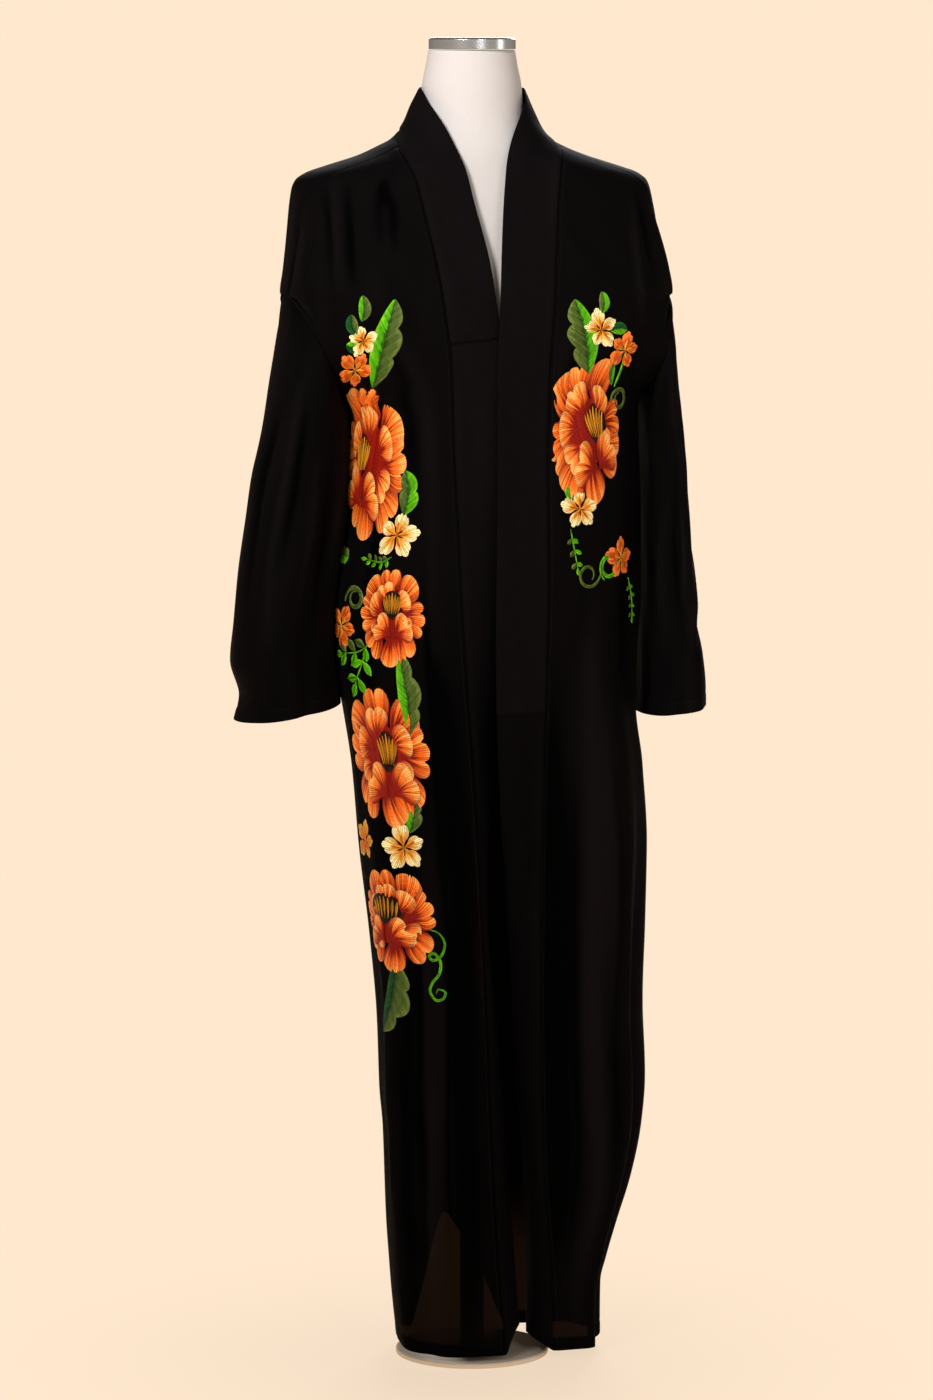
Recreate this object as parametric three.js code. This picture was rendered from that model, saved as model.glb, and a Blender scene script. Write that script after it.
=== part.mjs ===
// A long open kimono robe of black crepe on a limbless dress form. Millimetres, +Z up; the front faces -Y
// and the wearer's left is +X. The origin is the centre of the base's underside, on the floor.
// The robe's body is one surface around the form: a section at each height, with the angle psi running
// from the centre front (0) over the wearer's right side (90) and the centre back (180) to the left (270).
// Every panel is a stretch of that surface, so neighbours share their seam and lie SEAM_GAP apart.

import * as THREE from "three";

const WALL = 1.6; // crepe with its seam allowances
const BAND_WALL = 2; // the neckband is the same crepe, folded double
const SEAM_GAP = 0.6;
const SEAM_TOP = 1418; // the shoulder seam meets the neckband's seam at this height
const NECK_SEAM = 1436; // the back neck seam lies level, at the top of the shoulder slope
const UNDERARM = 1135;
const SHOULDER_DROP = 1250; // the armhole seam's outer end, below the form's shoulder
const HEM = 12;
const ARMHOLE_STEPS = 10; // rows in half an armhole
const BAND_STEPS = 4;
const FRONT_STEPS = 9;
const BACK_STEPS = 18;
const BAND_JOIN = { right: (UNDERARM + SHOULDER_DROP) / 2, left: 769 }; // where the neckband is pieced
const BAND_CORNER = { right: 0.35, left: 1 }; // how far across its width the turned-in band bends

const ARMHOLE_SHORT = 32; // how many degrees short of the side a half section stops at mid armhole
const FOLD_DEPTHWISE = 1.6; // folds stand out more to the front and back than to the sides

const FORM_FOOT = 800;
const FORM_SHIFT = 3; // the form's axis lies this far behind the pole's
const NECK_TOP = 1528;
const CAP = { radius: 50, top: 1542, bevel: 2 };
const POLE_RADIUS = 14;
const BASE = { radius: 90, height: 6, bevel: 1.5 };

// The body's sections. right and left are its reach at the sides, front and back its reach in depth,
// side the depth of the side seams, and squareFront and squareBack how square each half is (2 is an ellipse).
const BODY_SECTIONS = [
  { z: 12, right: 90, left: 154, front: 80, back: 88, side: 6, squareFront: 2.9, squareBack: 2.2 },
  { z: 75, right: 96, left: 155, front: 81, back: 92, side: 6, squareFront: 2.8, squareBack: 2.2 },
  { z: 104, right: 98, left: 162, front: 83, back: 94, side: 6, squareFront: 2.7, squareBack: 2.2 },
  { z: 150, right: 101, left: 175, front: 85, back: 97, side: 6, squareFront: 2.7, squareBack: 2.2 },
  { z: 205, right: 103, left: 192, front: 88, back: 100, side: 6, squareFront: 2.6, squareBack: 2.2 },
  { z: 268, right: 105, left: 205, front: 91, back: 103, side: 7, squareFront: 2.6, squareBack: 2.2 },
  { z: 316, right: 109, left: 209, front: 94, back: 105, side: 7, squareFront: 2.5, squareBack: 2.2 },
  { z: 410, right: 112, left: 206, front: 99, back: 108, side: 8, squareFront: 2.5, squareBack: 2.2 },
  { z: 507, right: 121, left: 208, front: 107, back: 111, side: 8, squareFront: 2.4, squareBack: 2.1 },
  { z: 602, right: 132, left: 210, front: 113, back: 113, side: 8, squareFront: 2.3, squareBack: 2.1 },
  { z: 696, right: 140, left: 204, front: 119, back: 112, side: 8, squareFront: 2.2, squareBack: 2.1 },
  { z: 767, right: 151, left: 195, front: 123, back: 110, side: 8, squareFront: 2.1, squareBack: 2.1 },
  { z: 837, right: 163, left: 197, front: 126, back: 107, side: 8, squareFront: 2, squareBack: 2 },
  { z: 896, right: 164, left: 201, front: 128, back: 104, side: 8, squareFront: 2, squareBack: 2 },
  { z: 1012, right: 148, left: 200, front: 131, back: 97, side: 8, squareFront: 2, squareBack: 2 },
  { z: 1110, right: 146, left: 197, front: 133, back: 99, side: 8, squareFront: 2, squareBack: 2 },
  { z: 1135, right: 158, left: 200, front: 132, back: 101, side: 8, squareFront: 2, squareBack: 2 },
  { z: 1250, right: 221, left: 230, front: 125, back: 109, side: 8, squareFront: 2.8, squareBack: 2.8 },
  { z: 1277, right: 217.5, left: 226, front: 119, back: 110, side: 8, squareFront: 2.8, squareBack: 2.8 },
  { z: 1323, right: 213, left: 217, front: 109, back: 110, side: 8, squareFront: 2.7, squareBack: 2.7 },
  { z: 1369, right: 208.5, left: 209, front: 98, back: 105, side: 7, squareFront: 2.5, squareBack: 2.5 },
  { z: 1380, right: 204, left: 204.5, front: 97, back: 102, side: 7, squareFront: 2.4, squareBack: 2.4 },
  { z: 1388, right: 193, left: 194, front: 96, back: 99, side: 7, squareFront: 2.3, squareBack: 2.3 },
  { z: 1397, right: 167, left: 168, front: 96, back: 95, side: 7, squareFront: 2.2, squareBack: 2.2 },
  { z: 1408, right: 132, left: 133, front: 95, back: 88, side: 7, squareFront: 2.1, squareBack: 2.1 },
  { z: 1418, right: 110, left: 108, front: 95, back: 82, side: 7, squareFront: 2, squareBack: 2 },
  { z: 1427, right: 93, left: 91, front: 95, back: 76, side: 7, squareFront: 2, squareBack: 2 },
  { z: 1436, right: 84, left: 83, front: 94, back: 72, side: 7, squareFront: 2, squareBack: 2 },
];

// The soft folds of the body: where each lies at the hem and at its top, how wide it is, how far it
// stands out (or sinks, below 0) at the hem, and the heights between which it fades away.
const BODY_FOLDS = [
  { psi: 311, psiTop: 309, width: 9, out: 9, full: 500, gone: 900 },
  { psi: 294, psiTop: 292, width: 10, out: -13, full: 420, gone: 820 },
  { psi: 338, psiTop: 338, width: 9, out: -6, full: 500, gone: 1000 },
  { psi: 38, psiTop: 30, width: 12, out: -7, full: 560, gone: 1000 },
  { psi: 66, psiTop: 60, width: 15, out: 5, full: 500, gone: 900 },
  { psi: 112, psiTop: 116, width: 12, out: -8, full: 500, gone: 1000 },
  { psi: 136, psiTop: 138, width: 12, out: 8, full: 520, gone: 1100 },
  { psi: 160, psiTop: 158, width: 11, out: -9, full: 600, gone: 1150 },
  { psi: 184, psiTop: 180, width: 12, out: 7, full: 560, gone: 1050 },
  { psi: 208, psiTop: 203, width: 12, out: -9, full: 640, gone: 1150 },
  { psi: 232, psiTop: 226, width: 12, out: 9, full: 520, gone: 1100 },
  { psi: 256, psiTop: 250, width: 11, out: -7, full: 460, gone: 980 },
];

// The back's hem is hitched up in an arch between these angles.
const HEM_ARCH = { from: 143, to: 200, lift: 140, fadesAt: 520 };
// It also rises a little at both sides.
const HEM_RISES = [
  { psi: 95, width: 36, lift: 10 },
  { psi: 270, width: 18, lift: 7 },
];

// The angle of the seam between front and back, which rolls forward over the shoulder.
const SHOULDER_SEAM = [
  { z: 1250, psi: 90 },
  { z: 1300, psi: 86 },
  { z: 1340, psi: 78 },
  { z: 1364, psi: 69 },
  { z: 1380, psi: 62 },
  { z: 1400, psi: 61 },
  { z: 1418, psi: 61.5 },
];

// The neckband on each side: the height and reach of its seam, then its free edge (reach, depth, height
// above the seam), and how far it is turned in along its fold, from 0 to 1.
const BAND_RIGHT = [
  { z: 12, seam: -24, edge: -50, depth: -34, rise: 26, turn: 0.75 },
  { z: 77, seam: -19, edge: -46, depth: -36, rise: 14, turn: 0.75 },
  { z: 162, seam: -12, edge: -40, depth: -38, rise: 4, turn: 0.75 },
  { z: 280, seam: -5, edge: -30, depth: -42, rise: 0, turn: 0.75 },
  { z: 378, seam: 0, edge: -22, depth: -46, rise: 0, turn: 0.78 },
  { z: 556, seam: 11, edge: -6, depth: -58, rise: 0, turn: 0.82 },
  { z: 708, seam: 22, edge: -6, depth: -80, rise: 0, turn: 0.8 },
  { z: 810, seam: 31, edge: -11, depth: -102, rise: 0, turn: 0.7 },
  { z: 899, seam: 37, edge: -11, depth: -110, rise: 0, turn: 0.5 },
  { z: 978, seam: 41, edge: -10, depth: -119, rise: 0, turn: 0.25 },
  { z: 1068, seam: 46, edge: -9, depth: -127, rise: 0, turn: 0 },
  { z: 1183, seam: 50, edge: -8, depth: -127, rise: 4, turn: 0 },
  { z: 1219, seam: 55, edge: -4, depth: -124, rise: 10, turn: 0 },
  { z: 1273, seam: 62, edge: 4, depth: -118, rise: 15, turn: 0 },
  { z: 1338, seam: 74, edge: 18, depth: -98, rise: 18, turn: 0 },
  { z: 1377, seam: 82, edge: 26, depth: -87, rise: 17, turn: 0 },
  { z: 1400, seam: 90, edge: 34, depth: -77, rise: 16, turn: 0 },
  { z: 1412, seam: 94, edge: 41, depth: -69, rise: 20, turn: 0 },
  { z: 1418, seam: 95, edge: 47, depth: -62, rise: 27, turn: 0 },
  { z: 1424, seam: 93.5, edge: 54, depth: -51, rise: 34, turn: 0 },
  { z: 1430, seam: 88.6, edge: 60, depth: -32, rise: 41, turn: 0 },
  { z: 1436, seam: 84, edge: 62, depth: -4, rise: 49, turn: 0 },
];
const BAND_LEFT = [
  { z: 12, seam: 83, edge: 58, depth: -30, rise: 16, turn: 0.9 },
  { z: 67, seam: 81, edge: 58, depth: -31, rise: 10, turn: 0.9 },
  { z: 130, seam: 77, edge: 55.3, depth: -34, rise: 4, turn: 0.9 },
  { z: 222, seam: 68, edge: 52.5, depth: -37, rise: 0, turn: 0.9 },
  { z: 300, seam: 64, edge: 45.3, depth: -45, rise: 0, turn: 0.9 },
  { z: 378, seam: 62, edge: 38, depth: -54, rise: 0, turn: 0.9 },
  { z: 461, seam: 60, edge: 31, depth: -68, rise: 0, turn: 0.8 },
  { z: 586, seam: 59, edge: 18, depth: -92, rise: 0, turn: 0.6 },
  { z: 663, seam: 60, edge: 10, depth: -108, rise: 0, turn: 0.4 },
  { z: 770, seam: 61, edge: 2, depth: -127, rise: 0, turn: 0 },
  { z: 899, seam: 63, edge: 0, depth: -133, rise: 0, turn: 0 },
  { z: 1066, seam: 61, edge: 1, depth: -137, rise: 0, turn: 0 },
  { z: 1157, seam: 63, edge: 1, depth: -137, rise: 2, turn: 0 },
  { z: 1229, seam: 68, edge: 4, depth: -134, rise: 8, turn: 0 },
  { z: 1301, seam: 74, edge: 10, depth: -117, rise: 14, turn: 0 },
  { z: 1377, seam: 82, edge: 20, depth: -92, rise: 17, turn: 0 },
  { z: 1400, seam: 86, edge: 26, depth: -80, rise: 16, turn: 0 },
  { z: 1412, seam: 91, edge: 33, depth: -70, rise: 20, turn: 0 },
  { z: 1418, seam: 93, edge: 40, depth: -62, rise: 27, turn: 0 },
  { z: 1424, seam: 92, edge: 48, depth: -51, rise: 34, turn: 0 },
  { z: 1430, seam: 87.4, edge: 57, depth: -32, rise: 41, turn: 0 },
  { z: 1436, seam: 83, edge: 61, depth: -4, rise: 49, turn: 0 },
];
const COLLAR_BACK = { depth: 65, rise: 51 }; // the neckband's free edge at the centre back

// The sleeves, ring by ring: the height of the ring's centre, how much higher its outer end is, its
// outer and inner reach, its half depth, and how far its front stands out from its back.
const SLEEVE_RIGHT = [
  { z: 1192.5, tip: 57.5, outer: 221, inner: 158, depth: 80, toe: 0 },
  { z: 1160, tip: 40, outer: 226, inner: 158, depth: 81, toe: 1 },
  { z: 1125, tip: 24, outer: 235, inner: 155, depth: 82, toe: 2 },
  { z: 1085, tip: 10, outer: 244.5, inner: 153, depth: 83, toe: 4 },
  { z: 1040, tip: 2, outer: 257, inner: 154, depth: 83, toe: 5 },
  { z: 990, tip: 0, outer: 265, inner: 158, depth: 83, toe: 6 },
  { z: 930, tip: 0, outer: 274, inner: 165, depth: 83, toe: 7 },
  { z: 870, tip: 0, outer: 280, inner: 169, depth: 83, toe: 8 },
  { z: 830, tip: -2, outer: 284, inner: 168, depth: 83, toe: 8 },
  { z: 795, tip: -6, outer: 274, inner: 163, depth: 84, toe: 9 },
  { z: 768, tip: -8, outer: 280, inner: 159, depth: 85, toe: 10 },
];
const SLEEVE_LEFT = [
  { z: 1192.5, tip: 57.5, outer: 230, inner: 200, depth: 86, toe: 0 },
  { z: 1160, tip: 40, outer: 233, inner: 202, depth: 87, toe: 1 },
  { z: 1125, tip: 24, outer: 234, inner: 205, depth: 88, toe: 1 },
  { z: 1085, tip: 10, outer: 238, inner: 208, depth: 88, toe: 2 },
  { z: 1040, tip: 2, outer: 244, inner: 210, depth: 88, toe: 3 },
  { z: 990, tip: 0, outer: 248, inner: 210, depth: 88, toe: 4 },
  { z: 930, tip: 0, outer: 253, inner: 211, depth: 88, toe: 4 },
  { z: 870, tip: 0, outer: 260, inner: 210, depth: 88, toe: 4 },
  { z: 830, tip: 0, outer: 270, inner: 207, depth: 88, toe: 3 },
  { z: 795, tip: 2, outer: 274, inner: 205, depth: 89, toe: 3 },
  { z: 764, tip: 8, outer: 275, inner: 202, depth: 90, toe: 2 },
];
// The sleeves' folds: the angle round the ring, width in degrees, how far it stands out at the cuff.
const SLEEVE_FOLDS = [
  { phi: 70, width: 15, out: 5 },
  { phi: 112, width: 14, out: -7 },
  { phi: 226, width: 16, out: 6 },
  { phi: 268, width: 15, out: -6 },
];

// The dress form: half width and reach to the front and back. Its shoulders carry the robe.
const FORM_SECTIONS = [
  { z: 800, half: 143, front: 90, back: 94 },
  { z: 830, half: 150, front: 96, back: 99 },
  { z: 880, half: 151, front: 99, back: 97 },
  { z: 940, half: 142, front: 98, back: 90 },
  { z: 1000, half: 128, front: 94, back: 80 },
  { z: 1060, half: 118, front: 93, back: 74 },
  { z: 1110, half: 124, front: 102, back: 79 },
  { z: 1160, half: 139, front: 114, back: 86 },
  { z: 1210, half: 152, front: 119, back: 92 },
  { z: 1250, half: 163, front: 113, back: 96 },
  { z: 1290, half: 180, front: 104, back: 98 },
  { z: 1330, half: 196, front: 94, back: 97 },
  { z: 1356, half: 204, front: 88, back: 94 },
  { z: 1369, half: 204.6, front: 85, back: 92 },
  { z: 1380, half: 197, front: 82, back: 90 },
  { z: 1388, half: 184, front: 80, back: 87 },
  { z: 1397, half: 158, front: 78, back: 83 },
  { z: 1408, half: 123.5, front: 76, back: 77 },
  { z: 1418, half: 100, front: 73, back: 71 },
  { z: 1427, half: 84, front: 70, back: 67 },
  { z: 1436, half: 74.5, front: 67, back: 63.5 },
  { z: 1450, half: 65, front: 63, back: 60.5 },
  { z: 1470, half: 59, front: 60, back: 58 },
  { z: 1490, half: 57, front: 57, back: 56 },
  { z: 1510, half: 53, front: 53, back: 53 },
  { z: 1528, half: 50, front: 50, back: 50 },
];
const FORM_SIDES = 26;

const V = (x, y, z) => new THREE.Vector3(x, y, z);
const mix = THREE.MathUtils.lerp;
const rad = THREE.MathUtils.degToRad;
const smooth = THREE.MathUtils.smoothstep;

// A column of a table at height z, on a smooth curve through the rows (monotone between them).
function at(table, column, z) {
  const last = table.length - 1;
  if (z <= table[0].z) return table[0][column];
  if (z >= table[last].z) return table[last][column];
  const i = table.findIndex((row) => row.z > z) - 1;
  const span = (k) => table[k + 1].z - table[k].z;
  const slope = (k) => (table[k + 1][column] - table[k][column]) / span(k);
  const tangent = (k) => {
    if (k === 0 || k === last) return slope(k === 0 ? 0 : last - 1);
    const [a, b] = [slope(k - 1), slope(k)];
    return a * b <= 0 ? 0 : (2 * a * b) / (a + b);
  };
  const h = span(i);
  const t = (z - table[i].z) / h;
  const [p, q] = [table[i][column], table[i + 1][column]];
  return (
    p * (1 + 2 * t) * (1 - t) ** 2 +
    h * tangent(i) * t * (1 - t) ** 2 +
    q * t * t * (3 - 2 * t) +
    h * tangent(i + 1) * t * t * (t - 1)
  );
}

// The rows of the body: heights from the hem to the back neck seam, closer where the shape turns.
function bodyRows() {
  const skirt = [HEM, 38, 70, 104, 150, 205, 268, 330, 400, 470, 540, 610, 690, BAND_JOIN.left];
  const waist = [835, 900, 965, 1030, 1085, 1115];
  const armhole = Array.from(
    { length: ARMHOLE_STEPS + 1 },
    (_, i) => mix(SHOULDER_DROP, UNDERARM, (1 + Math.cos((i * Math.PI) / ARMHOLE_STEPS)) / 2),
  );
  const shoulder = [1277, 1305, 1335, 1358, 1371, 1380, 1388, 1396, 1404, 1411, SEAM_TOP];
  return [...skirt, ...waist, ...armhole, ...shoulder, 1424, 1430, NECK_SEAM];
}
const ROWS = bodyRows();

const sleeveTable = (side) => (side < 0 ? SLEEVE_RIGHT : SLEEVE_LEFT);
const bandTable = (side) => (side < 0 ? BAND_RIGHT : BAND_LEFT);

// A bump of height 1 at the middle that falls to 0 smoothly at the given width.
const bump = (away, width) => Math.exp(-((away / width) ** 2));

// How far the folds push the body's surface out at an angle and height.
function foldOut(psi, z) {
  return BODY_FOLDS.reduce((sum, f) => {
    const rise = THREE.MathUtils.clamp((z - HEM) / (f.gone - HEM), 0, 1);
    const middle = mix(f.psi, f.psiTop, rise);
    return sum + f.out * (1 - smooth(z, f.full, f.gone)) * bump(psi - middle, f.width);
  }, 0);
}

// How far the hitched-up hem lifts the cloth at an angle and height.
function hemLift(psi, z) {
  const t = THREE.MathUtils.clamp((psi - HEM_ARCH.from) / (HEM_ARCH.to - HEM_ARCH.from), 0, 1);
  const arch = HEM_ARCH.lift * Math.sin(Math.PI * t) ** 1.3;
  const rises = HEM_RISES.reduce((sum, rise) => sum + rise.lift * bump(psi - rise.psi, rise.width), 0);
  return (arch + rises) * (1 - THREE.MathUtils.clamp(z / HEM_ARCH.fadesAt, 0, 1));
}

// The body's surface at an angle psi (degrees) and a height. Between the underarm and the shoulder drop
// each half section ends on the armhole instead of running round the side, and is drawn out to it there.
function body(psi, z) {
  const whole = THREE.MathUtils.euclideanModulo(psi, 360);
  const side = whole <= 180 ? -1 : 1;
  const round = side < 0 ? whole : 360 - whole;
  const inFront = round <= 90;
  const turn = rad(inFront ? round : 180 - round); // 0 at the centre line, 90 degrees at the side
  const sideY = at(BODY_SECTIONS, "side", z);
  const deepY = inFront ? -at(BODY_SECTIONS, "front", z) : at(BODY_SECTIONS, "back", z);
  const power = 2 / at(BODY_SECTIONS, inFront ? "squareFront" : "squareBack", z);
  const reach = at(BODY_SECTIONS, side < 0 ? "right" : "left", z);
  const section = (angle) => {
    const y = sideY + (deepY - sideY) * Math.max(Math.cos(angle), 0) ** power;
    return V(side * reach * Math.sin(angle) ** power, y, z);
  };
  const t = THREE.MathUtils.clamp((z - UNDERARM) / (SHOULDER_DROP - UNDERARM), 0, 1);
  const hole = sleeveTable(side)[0];
  const open = 2 * Math.sqrt(t * (1 - t));
  const short = rad(ARMHOLE_SHORT * open);
  const share = turn / (Math.PI / 2);
  const endY = sideY + (inFront ? -1 : 1) * hole.depth * open;
  const end = V(side * mix(hole.inner, hole.outer, t), endY, z).sub(section(Math.PI / 2 - short));
  const point = section(turn - short * share ** 2.5);
  if (open > 0) point.addScaledVector(end, share ** 3);
  point.addScaledVector(V(point.x, point.y * FOLD_DEPTHWISE, 0).normalize(), foldOut(whole, z));
  point.z += hemLift(whole, z);
  return point;
}

// The outward normal of the body's surface, from its own slopes.
function bodyNormal(psi, z) {
  const across = body(psi + 0.6, z).sub(body(psi - 0.6, z));
  const up = body(psi, Math.min(z + 1.5, NECK_SEAM)).sub(body(psi, Math.max(z - 1.5, HEM)));
  return up.cross(across).normalize();
}

// An angle counted from the centre front towards one side, as psi.
const psiOn = (side, round) => (side < 0 ? round : 360 - round);

// The angle, from the centre front, at which the neckband's seam crosses a height.
function bandRound(side, z) {
  const target = at(bandTable(side), "seam", z);
  let [low, high] = [-60, 90];
  for (let i = 0; i < 40; i++) {
    const middle = (low + high) / 2;
    if (side * body(psiOn(side, middle), z).x < target) low = middle;
    else high = middle;
  }
  return low;
}

// Where a front panel ends and the back begins, as an angle from the centre front.
const sideRound = (z) => (z <= SHOULDER_DROP ? 90 : at(SHOULDER_SEAM, "psi", z));

// The normal along an armhole: out at its shoulder end, down at the underarm.
function armholeNormal(side, phi) {
  const [c, s] = [Math.cos(phi), Math.sin(phi)];
  return V(side * Math.max(c, 0), -s, Math.min(c, 0)).normalize();
}

// The neckband's stations: up the right front, round the neck and down the left front.
function bandStations() {
  const up = ROWS.map((z) => ({ side: -1, z }));
  const neck = Array.from({ length: BACK_STEPS - 1 }, (_, i) => ({
    psi: 90 + (180 * (i + 1)) / BACK_STEPS,
  }));
  return [...up, ...neck, ...ROWS.toReversed().map((z) => ({ side: 1, z }))];
}

// The neckband's surface at a station, u running from its seam (0) to its free edge (1).
function bandPoint(station, u) {
  const { side, z, psi } = station;
  if (psi !== undefined) {
    const turn = rad(psi);
    const shoulder = bandTable(psi < 180 ? -1 : 1).at(-1);
    const edge = V(
      -shoulder.edge * Math.sin(turn),
      mix(shoulder.depth, COLLAR_BACK.depth, Math.max(-Math.cos(turn), 0)),
      NECK_SEAM + mix(shoulder.rise, COLLAR_BACK.rise, Math.max(-Math.cos(turn), 0)),
    );
    return body(psi, NECK_SEAM).lerp(edge, u);
  }
  const table = bandTable(side);
  const seam = body(psiOn(side, bandRound(side, z)), z);
  const edge = V(side * at(table, "edge", z), at(table, "depth", z), z + at(table, "rise", z));
  const corner = V(mix(seam.x, edge.x, side < 0 ? BAND_CORNER.right : BAND_CORNER.left), seam.y, edge.z);
  const control = seam.clone().lerp(edge, 0.5).lerp(corner, at(table, "turn", z));
  return new THREE.QuadraticBezierCurve3(seam, control, edge).getPoint(u);
}

// The whole neckband as a grid of points and normals. Its seam takes the mean of its own normal and the
// body's, which the panels use there too, so that both walls end along one face.
function bandGrid() {
  const stations = bandStations();
  const us = Array.from({ length: BAND_STEPS + 1 }, (_, i) => i / BAND_STEPS);
  const points = stations.map((s) => us.map((u) => bandPoint(s, u)));
  return points.map((row, r) => ({
    station: stations[r],
    cells: row.map((p, c) => {
      const along = points[Math.min(r + 1, points.length - 1)][c].clone();
      along.sub(points[Math.max(r - 1, 0)][c]);
      const across = row[Math.min(c + 1, BAND_STEPS)].clone().sub(row[Math.max(c - 1, 0)]);
      const n = across.cross(along).normalize();
      if (c === 0) {
        const { side, z, psi } = stations[r];
        n.add(bodyNormal(psi ?? psiOn(side, bandRound(side, z)), z ?? NECK_SEAM)).normalize();
      }
      return { p: p.clone(), n };
    }),
  }));
}
const BAND = bandGrid();
const seamNormal = (side, z) =>
  BAND.find(({ station }) => station.side === side && station.z === z).cells[0].n;
const NECK_START = BAND.findIndex(({ station }) => station.z === NECK_SEAM);

// A row of a panel: points from one angle to another at a height, each with its normal.
function panelRow(z, from, to, steps) {
  return Array.from({ length: steps + 1 }, (_, i) => {
    const psi = mix(from, to, i / steps);
    return { p: body(psi, z), n: bodyNormal(psi, z) };
  });
}

// The normal that the two walls share at the armhole, by height.
function armholeSeam(side, z, front) {
  const t = (z - UNDERARM) / (SHOULDER_DROP - UNDERARM);
  const phi = Math.acos(THREE.MathUtils.clamp(2 * t - 1, -1, 1));
  return armholeNormal(side, front ? phi : -phi);
}
const onArmhole = (z) => z >= UNDERARM && z <= SHOULDER_DROP;

// A front: from the neckband's seam to the side seam, the armhole and the shoulder seam.
function frontGrid(side) {
  return ROWS.filter((z) => z <= SEAM_TOP).map((z) => {
    const from = psiOn(side, bandRound(side, z));
    const row = panelRow(z, from, from + side * (bandRound(side, z) - sideRound(z)), FRONT_STEPS);
    row[0].n = seamNormal(side, z);
    if (onArmhole(z)) row.at(-1).n = armholeSeam(side, z, true);
    return row;
  });
}

// The back: from the right side round to the left, up to the back neck seam.
function backGrid() {
  const justBehind = 1e-6;
  return ROWS.map((z) => {
    const [right, left] = [-1, 1].map((side) => {
      const round = z > SEAM_TOP ? bandRound(side, z) : sideRound(z);
      return psiOn(side, onArmhole(z) ? round + justBehind : round);
    });
    const row = panelRow(z, right, left, BACK_STEPS);
    if (onArmhole(z)) {
      row[0].n = armholeSeam(-1, z, false);
      row.at(-1).n = armholeSeam(1, z, false);
    } else if (z > SEAM_TOP) {
      row[0].n = seamNormal(-1, z);
      row.at(-1).n = seamNormal(1, z);
    }
    if (z === NECK_SEAM) row.forEach((cell, i) => (cell.n = BAND[NECK_START + i].cells[0].n));
    return row;
  });
}

// A sleeve: closed rings from the armhole down to the cuff.
function sleeveGrid(side) {
  const table = sleeveTable(side);
  const sides = 2 * ARMHOLE_STEPS;
  const sideY = at(BODY_SECTIONS, "side", SHOULDER_DROP);
  const points = table.map((ring, r) =>
    Array.from({ length: sides }, (_, i) => {
      const phi = (2 * Math.PI * i) / sides;
      const [c, s] = [Math.cos(phi), Math.sin(phi)];
      const [middle, half] = [(ring.outer + ring.inner) / 2, (ring.outer - ring.inner) / 2];
      const down = r / (table.length - 1);
      const out = SLEEVE_FOLDS.reduce(
        (sum, f) => sum + f.out * down * bump(THREE.MathUtils.radToDeg(phi) - f.phi, f.width),
        0,
      );
      const x = middle + (half + out) * c + ring.toe * s;
      return V(side * x, sideY - (ring.depth + out) * s, ring.z + ring.tip * c);
    }),
  );
  return points.map((row, r) =>
    row.map((p, i) => {
      const down = points[Math.min(r + 1, points.length - 1)][i].clone();
      down.sub(points[Math.max(r - 1, 0)][i]);
      const round = row[(i + 1) % sides].clone().sub(row[(i + sides - 1) % sides]);
      const n = r === 0 ? armholeNormal(side, (2 * Math.PI * i) / sides) : round.cross(down);
      return { p: p.clone(), n: n.normalize().multiplyScalar(r === 0 ? 1 : -side) };
    }),
  );
}

// Moves the ends of every row, or a whole end row, half a seam gap in from the seam. A sleeve's ring also
// drops by its wall's thickness where it faces down, at the underarm.
function trim(grid, { columns = [], rows = [], drop = 0 }) {
  const step = (a, b) => {
    const inwards = b.p.clone().sub(a.p).normalize();
    a.p.addScaledVector(inwards, SEAM_GAP / 2 + drop * Math.max(-a.n.z, 0));
  };
  for (const row of grid) {
    for (const c of columns) step(row.at(c), row.at(c === 0 ? 1 : -2));
  }
  for (const r of rows) grid.at(r).forEach((cell, c) => step(cell, grid.at(r === 0 ? 1 : -2)[c]));
  return grid;
}

// A closed wall: the grid's points outside, the same points moved in by the thickness, and its rims.
function wall(grid, thick, closedRound = false) {
  const [rows, columns] = [grid.length, grid[0].length];
  const cells = grid.flat();
  const inner = cells.map(({ p, n }) => p.clone().addScaledVector(n, -thick));
  const positions = [...cells.map(({ p }) => p), ...inner].flatMap((p) => p.toArray());
  const id = (r, c, layer) => layer * cells.length + r * columns + (c % columns);
  const faces = [];
  const quad = (a, b, c, d) => faces.push(a, b, c, a, c, d);
  const across = closedRound ? columns : columns - 1;
  for (let r = 0; r < rows - 1; r++) {
    for (let c = 0; c < across; c++) {
      quad(id(r, c, 0), id(r, c + 1, 0), id(r + 1, c + 1, 0), id(r + 1, c, 0));
      quad(id(r, c, 1), id(r + 1, c, 1), id(r + 1, c + 1, 1), id(r, c + 1, 1));
    }
    if (closedRound) continue;
    quad(id(r, 0, 0), id(r + 1, 0, 0), id(r + 1, 0, 1), id(r, 0, 1));
    quad(id(r + 1, across, 0), id(r, across, 0), id(r, across, 1), id(r + 1, across, 1));
  }
  for (let c = 0; c < across; c++) {
    quad(id(0, c + 1, 0), id(0, c, 0), id(0, c, 1), id(0, c + 1, 1));
    quad(id(rows - 1, c, 0), id(rows - 1, c + 1, 0), id(rows - 1, c + 1, 1), id(rows - 1, c, 1));
  }
  return closedBody(positions, faces);
}

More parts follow.
